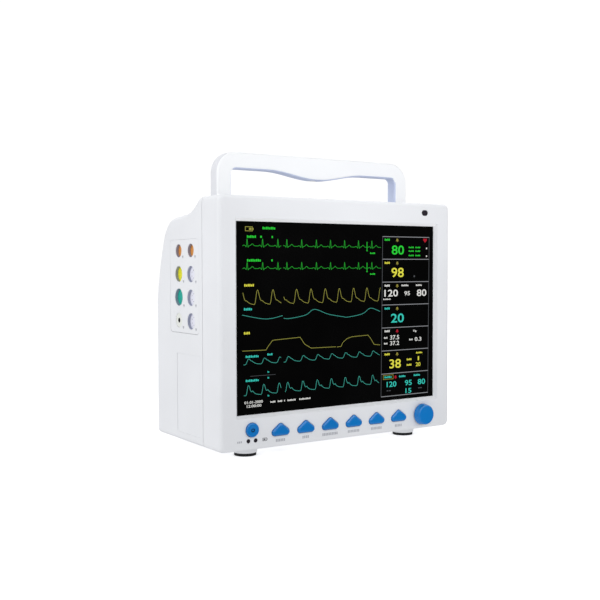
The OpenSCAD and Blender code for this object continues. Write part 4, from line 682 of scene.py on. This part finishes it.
# %% Heart traces
curve_width = 0.5
left_end, gap_start, gap_end, right_end = 7, 51, 53.5, 177
fine_step, coarse_step, fine_zone = 0.2, 0.7, 2.2
peak_width, reach = 0.55, 12
# place after the peak, height and width of the small bumps of a beat
small_bumps = ((-1.1, -1.1, 0.45), (1.15, -1.3, 0.5), (-3.4, 0.8, 0.9), (5.8, 2.0, 1.6))


def bell(s, width):
    """A smooth bump of height one."""
    return math.exp(-((s / width) ** 2))


def heart_trace(work, base, height, beats, start, end):
    """A line that rises in a sharp peak at each beat, with finer steps close to the peaks."""
    points = []
    u = start
    while u < end:
        rise = 0.0
        for s in (u - b for b in beats if abs(u - b) < reach):
            rise += height * bell(s, peak_width) + sum(h * bell(s - p, w) for p, h, w in small_bumps)
        points.append((u, base - rise))
        u += fine_step if min(abs(u - b) for b in beats) < fine_zone else coarse_step
    ribbon(work, points, curve_width)


left_beats = [12.1, 29.6, 47.25]
right_beats = [57.7, 75.4, 93.3, 110.8, 128.75, 146.7, 164.3]
for base, height in ((23.75, 7.0), (45.8, 6.2)):
    heart_trace(layers["leaf"], base, height, left_beats, left_end, gap_start)
    heart_trace(layers["leaf"], base, height, right_beats, gap_end, right_end)
    ribbon(layers["green"], [(157.9, base - 5.75), (157.9, base + 3.75)], 0.7)
    ribbon(layers["green"], [(157.0, base + 3.75), (158.8, base + 3.75)], 0.6)
    caption(layers["green"], 162, 169, base + 6.2, 1.6, 1.8)
print("heart traces:", len(layers["leaf"].verts))


# %% Rounded curves
def rounded(points, steps=4):
    """A Catmull-Rom curve through points."""
    full = [points[0]] + list(points) + [points[-1]]
    out = []
    for a, b, c, d in zip(full, full[1:], full[2:], full[3:]):
        for k in range(steps):
            t = k / steps
            out.append(
                tuple(
                    0.5 * (2 * b[i] + (c[i] - a[i]) * t + (2 * a[i] - 5 * b[i] + 4 * c[i] - d[i]) * t * t
                           + (3 * b[i] - a[i] - 3 * c[i] + d[i]) * t ** 3)
                    for i in (0, 1)
                )
            )
    return out + [points[-1]]


def beat_trace(work, beats, shape, start, end):
    """The shape of one beat, set at each beat between start and end."""
    points = []
    for b in beats:
        for s, v in shape:
            u = b + s
            if start <= u <= end and (not points or u > points[-1][0] + fine_step):
                points.append((u, v))
    ribbon(work, rounded(points), curve_width)


print("curve helpers ready")

# %% Pulse and pressure traces
pulse = [(-3.7, 80.7), (-2.6, 78.2), (-1.2, 69.4), (0, 66.7), (1.1, 69.2), (2.3, 74.0), (3.6, 76.8),
         (5.0, 77.1), (7.0, 78.6), (9.5, 80.0), (12.6, 80.7)]
beat_trace(layers["amber"], [6.1, 23.75, 41.4], pulse, 6.5, 52)
beat_trace(layers["amber"], [51.6, 69.2, 86.7, 104.3, 122, 140.4, 157.9, 176], pulse, gap_end, right_end)
artery = [(-4.0, 139.2), (-2.6, 138.0), (-1.1, 134.8), (0, 133.8), (1.3, 134.4), (2.8, 135.7), (4.2, 136.2),
          (5.8, 137.4), (8.4, 138.6), (12.2, 139.2)]
beat_trace(layers["sea"], [-4.6, 13.3, 31.3, 49.2], artery, 6.3, 51.5)
beat_trace(layers["sea"], [41.4, 59.2, 77.1, 95, 112.5, 130, 147.9, 166.3], artery, gap_end, right_end)
lung = [(-3.0, 169.2), (-2.0, 167.0), (-0.9, 161.2), (0, 159.7), (1.0, 161.0), (2.2, 164.6), (3.4, 166.0),
        (4.6, 165.3), (6.0, 166.8), (8.6, 168.5), (12.4, 169.2)]
beat_trace(layers["sea"], [-4.6, 13, 30.4, 48.2], lung, 6.3, 51.5)
beat_trace(layers["sea"], [40.6, 58.3, 76.5, 94.2, 111.7, 129.5, 147.5, 165.5], lung, gap_end, right_end)
print("amber:", len(layers["amber"].verts), "sea:", len(layers["sea"].verts))

# %% Breath traces
breath = [(53.8, 95.4), (61, 95.8), (80, 92.9), (90.8, 87.5), (108, 92.9), (126, 96), (133, 96.7), (152, 93.8),
          (162.5, 88.2), (175.4, 92)]
ribbon(layers["sea"], rounded([(6.3, 90.8), (33, 95.4), (52.5, 92.7)], 6), curve_width)
ribbon(layers["sea"], rounded(breath, 6), curve_width)
gas_left = [(6.3, 125.7), (32.9, 126), (36, 122), (40.8, 116.7), (73.3, 115.2), (78.8, 122.5), (86.7, 126.8),
            (117.5, 127)]
gas_right = [(119, 127.3), (124, 127), (126.3, 123), (131.7, 119.2), (138.3, 117.5), (159.2, 116.7),
             (162.5, 120), (167.5, 127), (175.4, 127.9)]
ribbon(layers["amber"], gas_left, curve_width)
ribbon(layers["amber"], gas_right, curve_width)
print("amber:", len(layers["amber"].verts), "sea:", len(layers["sea"].verts))

# %% [markdown]
# ## Captions and boxes
# Each row has a short caption at its left end, and the right column has seven boxes with the readings.
# Captions are drawn as rows of blocks, since only the numbers say something here.
# The boxes are drawn line by line, like the wires of a table.

# %% Captions
# colour, left and right end, middle and height of the blocks, pitch of the blocks
captions = [
    ("green", 29.6, 44.6, 6.2, 2.4, 1.9),
    ("green", 12, 22.5, 14.8, 2.4, 1.9),
    ("green", 27, 29.4, 14.8, 2.0, 1.9),
    ("green", 40, 42, 14.8, 2.0, 1.9),
    ("green", 12, 28, 37.8, 2.4, 1.9),
    ("green", 39.6, 41.6, 37.8, 2.0, 1.9),
    ("yellow", 8.8, 20, 62, 2.4, 1.9),
    ("teal", 8.3, 17.7, 85.2, 2.4, 1.9),
    ("yellow", 8.2, 15.2, 108.5, 2.4, 1.9),
    ("teal", 10, 25, 131.5, 2.2, 1.9),
    ("teal", 34.6, 41, 130.5, 2.0, 1.9),
    ("teal", 10, 25, 155, 2.2, 1.9),
    ("white", 205, 215, 64.6, 1.8, 1.9),
    ("white", 225.4, 234, 64.6, 1.8, 1.9),
    ("white", 179.8, 190, 79.2, 1.4, 1.8),
    ("white", 224.4, 226.4, 115.2, 2.0, 1.9),
    ("white", 216, 221, 124, 1.8, 1.9),
    ("yellow", 226, 235, 139, 1.8, 1.9),
    ("teal", 181.6, 191.8, 163.3, 2.0, 1.9),
    ("teal", 201.7, 211, 163.6, 2.0, 1.9),
    ("teal", 222.5, 231.7, 163.6, 2.0, 1.9),
]
captions += [("teal", 34.8, 36.8, v, 1.6, 1.2) for v in (147.7, 153.5, 171.2)]
ends = ((38, 44), (46.5, 52), (54, 55.2), (58, 68), (72, 86))
captions += [("white", u0, u1, 177.8, 1.7, 1.5) for u0, u1 in ends]
limits = ((215, 222.5), (224.6, 231.7))
captions += [("green", u0, u1, v, 1.6, 1.7) for u0, u1 in limits for v in (23.3, 27.3, 32.1)]
captions += [("white", 239.8, 241.8, v, 1.6, 1.4) for v in (24.2, 32.8)]
captions += [("white", 181, 185.8, v, 1.8, 1.9) for v in (120.7, 126.9)]
captions += [("yellow", 212.5, 219.5, v, 2.0, 1.9) for v in (145.7, 151.7)]
for colour, *place in captions:
    caption(layers[colour], *place)
print("captions:", len(captions))

# %% Boxes
rows = (12.1, 36.25, 60.8, 85.4, 110, 134.75, 159.6, 184)
lean_left, lean_right = 0.012, 0.009
for v in rows:
    ribbon(layers["grey"], [(179.0 - lean_left * v, v), (244.4 - lean_right * v, v)], 0.7)
ribbon(layers["dim"], [(178.9, rows[0]), (176.8, rows[-1])], 0.6)
ribbon(layers["dim"], [(244.3, rows[0]), (242.7, rows[-1])], 0.6)
ribbon(layers["dim"], [(15, 150.8), (44, 150.8)], 0.4)
closed_frame(layers["amber"], on_glass, 10.0, 5.0, 18.4, 9.6, 0.6)
tile(layers["amber"], 18.42, 6.4, 19.4, 8.2)
tile(layers["amber"], 14.4, 6.2, 17.2, 8.4)
closed_frame(layers["olive"], on_glass, 179.6, 160.8, 193.8, 165.8, 0.6)
dash = 2.2
for u0, u1 in ((184.6, 190), (229, 234)):
    tile(layers["dim"], u0, 177.6, u0 + dash, 178.6)
    tile(layers["dim"], u1 - dash, 177.6, u1, 178.6)
print("box lines:", len(rows) + 3)

# %% Signs in the boxes
bell_outline = ((-2.1, 1.0), (-1.3, 0.2), (-1.1, -1.2), (0, -1.8), (1.1, -1.2), (1.3, 0.2), (2.1, 1.0))
heart = ((0, 2.2), (-2.7, -0.6), (-2.3, -2.2), (-1.1, -2.5), (0, -1.5), (1.1, -2.5), (2.3, -2.2), (2.7, -0.6))


def alarm_bell(work, u, v):
    """A small bell with its clapper."""
    plate(work, on_glass, [(u + du, v + dv) for du, dv in bell_outline])
    tile(work, u - 0.7, v + 1.3, u + 0.7, v + 1.9)


# height of the row, colour of its caption and of its bell
headings = ((15.4, "green", "olive"), (40.2, "yellow", "olive"), (64.6, "white", "olive"),
            (89.2, "teal", "olive"), (113.6, "white", "red"), (138.6, "yellow", "olive"))
for v, colour, bell_colour in headings:
    caption(layers[colour], 181.7, 189, v, 2.2)
    alarm_bell(layers[bell_colour], 199, v + 0.3)
alarm_bell(layers["red"], 196.7, 163.8)
plate(layers["red"], on_glass, [(238.3 + u, 15.8 + v) for u, v in heart])
plate(layers["dim"], on_glass, circle(222.9, 54.8, 1.1, 12))
ring_points = circle(222.6, 114.6, 0.8, 16)
ribbon(layers["white"], ring_points + ring_points[:1], 0.5)
print("faces on the screen:", sum(len(work.faces) for work in layers.values()))

# %% [markdown]
# ## Numbers
# The readings are what a nurse looks for first, so they are large, and each has its signal's colour.
# They could be built from strips like the curves, but Blender's own font gives cleaner digits.
# A text object is turned into a mesh, fitted to its box and joined to the layer of its colour.


# %% How a number is made
def number(work, text, u0, v0, u1, v1):
    """Digits that fill a box on the glass."""
    letters = bpy.data.curves.new("number", "FONT")
    letters.body = text
    letters.resolution_u = 3
    letters.fill_mode = "BOTH"
    letters.extrude = 0.1
    letters.offset = 0.012
    holder = bpy.data.objects.new("number", letters)
    bpy.context.scene.collection.objects.link(holder)
    shape = bpy.data.meshes.new_from_object(holder.evaluated_get(bpy.context.evaluated_depsgraph_get()))
    bpy.data.objects.remove(holder)
    low = [min(v.co[i] for v in shape.vertices) for i in (0, 1)]
    high = [max(v.co[i] for v in shape.vertices) for i in (0, 1)]
    for v in shape.vertices:
        share = [(v.co[i] - low[i]) / (high[i] - low[i]) for i in (0, 1)]
        v.co = on_glass(u0 + share[0] * (u1 - u0), v1 + share[1] * (v0 - v1), v.co.z > 0)
    part = bmesh.new()
    part.from_mesh(shape)
    bmesh.ops.remove_doubles(part, verts=part.verts, dist=5e-6)
    part.to_mesh(shape)
    part.free()
    work.from_mesh(shape)
    bpy.data.meshes.remove(shape)


print("digits ready")

# %% Numbers
readings = (
    ("green", "80", 191.3, 21.3, 208.3, 31.3),
    ("yellow", "98", 191.0, 45.4, 208.0, 55.8),
    ("white", "120", 181.3, 69.0, 200.0, 76.5),
    ("white", "95", 209.0, 71.0, 216.7, 75.6),
    ("white", "80", 226.7, 69.3, 240.4, 76.8),
    ("teal", "20", 190.4, 95.0, 208.3, 104.8),
    ("white", "37.5", 189.2, 118.3, 201.7, 123.0),
    ("white", "37.2", 189.2, 124.6, 201.7, 129.2),
    ("white", "0.3", 223.8, 121.7, 233.3, 126.0),
    ("yellow", "38", 188.3, 144.3, 204.2, 154.2),
    ("yellow", "1", 228.2, 143.0, 230.0, 147.5),
    ("yellow", "20", 225.4, 149.6, 232.0, 154.0),
    ("teal", "120", 184.6, 168.3, 197.9, 174.2),
    ("teal", "95", 210.0, 168.3, 219.6, 174.2),
    ("teal", "80", 228.3, 168.3, 238.8, 174.2),
    ("teal", "15", 210.8, 177.3, 219.0, 182.6),
    ("white", "01-01-2000", 8.3, 175.0, 29.2, 177.7),
    ("white", "12:00:00", 11.0, 178.7, 27.5, 181.4),
)
for colour, *place in readings:
    number(layers[colour], *place)
print("numbers:", len(readings))

# %% [markdown]
# ## Light of the picture
# A display lights each dot by itself, so the colours glow and take no shade from the room.
# A plain emission would do, but a real panel has rows of dots with dark gaps between them.
# A fine band pattern dims the glow between the rows, and shows only when one looks closely.

# %% Glowing layers
glow = {
    "green": (tone(44, 204, 58), 0.9),
    "yellow": (tone(224, 220, 74), 0.85),
    "teal": (tone(58, 200, 184), 0.85),
    "white": (tone(226, 226, 222), 0.85),
    "grey": (tone(150, 152, 156), 0.75),
    "dim": (tone(84, 86, 90), 0.7),
    "red": (tone(182, 30, 48), 0.75),
    "olive": (tone(146, 138, 62), 0.8),
    "leaf": (tone(44, 172, 54), 0.72),
    "amber": (tone(160, 158, 74), 0.72),
    "sea": (tone(70, 172, 156), 0.72),
}
dot_pitch = 0.31 * mm


def faded(colour, share):
    """A share of a colour's light."""
    return tuple(c * share for c in colour[:3]) + (1,)


for colour, work in layers.items():
    shade, strength = glow[colour]
    material = bpy.data.materials.new("screen_" + colour)
    material.use_nodes = True
    tree = material.node_tree
    shader = shader_of(material)
    shader.inputs["Base Color"].default_value = faded(shade, 0.2)
    shader.inputs["Roughness"].default_value = 0.5
    shader.inputs["Specular IOR Level"].default_value = 0.0
    shader.inputs["Emission Strength"].default_value = strength
    where = tree.nodes.new("ShaderNodeTexCoord")
    dots = tree.nodes.new("ShaderNodeTexWave")
    dots.bands_direction = "Z"
    dots.inputs["Scale"].default_value = 2 * math.pi / 20 / dot_pitch
    tree.links.new(where.outputs["Object"], dots.inputs["Vector"])
    lit = blend(tree, dots, faded(shade, 0.72), shade, 0.0, 0.6)
    tree.links.new(lit, shader.inputs["Emission Color"])
    piece_of(work, "screen_" + colour, material)
print("screen layers:", len(glow))

# %% [markdown]
# ## Socket sleeves as painted shade
# Each sensor socket sits in a round recess. Its far wall lies in shade and reads as a grey crescent,
# so a thin grey sleeve lines the recess as painted shade, and a black one lines the bore of the cuff's port as
# painted shade.
# They could be painted on the panel, but separate rings keep these painted crescents inside the recesses from
# every side.

# %% Sleeves
side_x = -146.0
columns = (-9.55, 18.05)
levels = (204.95, 181.25, 157.55, 133.85)
# column, level and radius of each sensor socket, and of the cuff's port
sockets = ((0, 0, 6.8), (1, 0, 6.8), (1, 1, 8.1), (1, 2, 8.9), (0, 1, 8.2), (0, 2, 8.2), (0, 3, 8.2))
cuff_port = (1, 3, 7.4)


def sleeve(work, y, z, outer, inner, x0, x1, count):
    """A short tube along X."""
    rings = []
    for c, s in circle(0, 0, 1, count):
        around = ((outer, x0), (outer, x1), (inner, x1), (inner, x0))
        rings.append([work.verts.new((x * mm, (y + r * c) * mm, (z + r * s) * mm)) for r, x in around])
    join_rings(work, rings, True)


# Each grey sleeve is painted shade on the far wall of a socket's recess.
sleeve_gap, sleeve_wall = 0.02, 0.2
work = bmesh.new()
for column, row, radius in sockets:
    outer = radius - sleeve_gap
    y, z = columns[column], levels[row]
    sleeve(work, y, z, outer, outer - sleeve_wall, side_x + 0.5, side_x + 3.15, 64)
piece_of(work, "socket_painted_shade_sleeves", finishes["recess_painted_shade_grey"], True)
work = bmesh.new()
y, z = columns[cuff_port[0]], levels[cuff_port[1]]
# The black tube is painted shade on the wall of the cuff port's bore.
bore, bore_shade_inner = 2.47, 2.0
sleeve(work, y, z, bore, bore_shade_inner, side_x + 0.35, side_x + 11.5, 48)
piece_of(work, "cuff_bore_painted_shade", finishes["rubber_black"], True)
print("sleeves:", len(sockets) + 1)

# %% [markdown]
# ## Painted pin holes in the sockets
# A sensor plug finds its pins in small holes in the coloured insulator.
# Drilling them would need a cut in the solid. A ring of thin dark discs just above its face is painted shade
# where the holes would be: it reads the same at this size, and leaves the solid as it is.

# %% Painted pin holes
face_x = side_x + 3.2
hole_shade_radius, hole_circle_share = 0.45, 0.48


def on_insulator(y, z, front):
    return (face_x - (0.08 if front else 0.02)) * mm, y * mm, z * mm


# Each dark disc is painted shade of a pin hole.
work = bmesh.new()
for column, row, radius in sockets:
    pins = 2 if radius < 7 else 6
    for i in range(pins):
        turn = 2 * math.pi * (i + 0.5) / pins
        y = columns[column] + radius * hole_circle_share * math.cos(turn)
        z = levels[row] + radius * hole_circle_share * math.sin(turn)
        plate(work, on_insulator, circle(y, z, hole_shade_radius, 20))
piece_of(work, "socket_pin_hole_shade", finishes["pin_hole_painted_shade"], True)
print("contacts ready")

# %% [markdown]
# ## Printed marks
# Beside each socket and under each key there is a tiny grey sign. Ink has no height to speak of,
# so each mark is a plate that stands about five hundredths of a millimetre above the surface.
# A decal could carry them, but plain blocks and drops are few enough to be set one by one.

# %% Marks on the side and the front
front_y = -69.05


def on_side(y, z, front):
    return (side_x if front else side_x + 0.07) * mm, y * mm, z * mm


def on_front(x, z, front):
    return x * mm, (front_y - 0.04 if front else front_y + 0.02) * mm, z * mm


drop = ((0, -1.9), (1.7, 0.1), (1.4, 1.5), (0, 0.9), (-1.4, 1.5), (-1.7, 0.1))
sign_widths = (11.2, 8.3, 19.6, 15.4, 14.6, 10)
sign_low, sign_high, block_pitch = 15.1, 17.9, 1.9
work = bmesh.new()
for column, row, radius in sockets + (cuff_port,):
    y, z = columns[column] - radius - 2.9, levels[row] - radius + 0.6
    plate(work, on_side, [(y + dy, z + dz) for dy, dz in drop])
for (x, z), width in zip(key_places, sign_widths):
    count = round(width / block_pitch)
    step = width / count
    for i in range(count):
        left = x - width / 2 + i * step
        plate(work, on_front, box(left, sign_low, left + 0.7 * step, sign_high))
for i in range(3):
    left = -127.0 + i * block_pitch
    plate(work, on_front, box(left, 18.0, left + 1.3, 20.0))
piece_of(work, "printed_marks", finishes["ink_grey"])
work = bmesh.new()
closed_frame(work, on_front, -98.6, 17.6, -93.6, 20.6, 0.5)
plate(work, on_front, box(-97.6, 18.5, -95.4, 19.7))
plate(work, on_front, box(-93.58, 18.6, -93.0, 19.6))
piece_of(work, "battery_sign", finishes["ink_dark"])
print("marks ready")

# %% [markdown]
# ## Power sign
# The power button is dished, so that a finger finds it without looking, and carries a sign pressed into it:
# a broken ring with a bar. A flat print would float over the hollow.
# So each point of the sign is set on the sphere that forms the dish, and the sign rides with the button.

# %% Power sign
power_x, power_z, dish_y, dish_r = -110.5, 29.8, -70.85, 12.0
sign_radius, ring_line, bar_line = 1.6, 0.9, 0.8
over, under = 0.06, -0.04


def dish_strip(work, points, width):
    """A closed strip along (x, z) points that follows the dish of the power button."""
    rings = []
    for i, p in enumerate(points):
        a, b = Vector(points[max(i - 1, 0)]), Vector(points[min(i + 1, len(points) - 1)])
        run = (b - a).normalized()
        across = Vector((-run.y, run.x)) * width / 2
        ring = []
        for side, lift in ((1, over), (-1, over), (-1, under), (1, under)):
            q = Vector(p) + across * side
            y = dish_y - q.length_squared / (2 * dish_r) - lift
            ring.append(work.verts.new(((power_x + q.x) * mm, y * mm, (power_z + q.y) * mm)))
        rings.append(ring)
    join_rings(work, rings, False)


work = bmesh.new()
turns = [math.radians(130 + 10 * i) for i in range(29)]
dish_strip(work, [(sign_radius * math.cos(t), sign_radius * math.sin(t)) for t in turns], ring_line)
dish_strip(work, [(0, 0.4 + 0.33 * i) for i in range(6)], bar_line)
piece_of(work, "power_sign", finishes["sign_blue"], False, "power_button")
print("power sign ready")
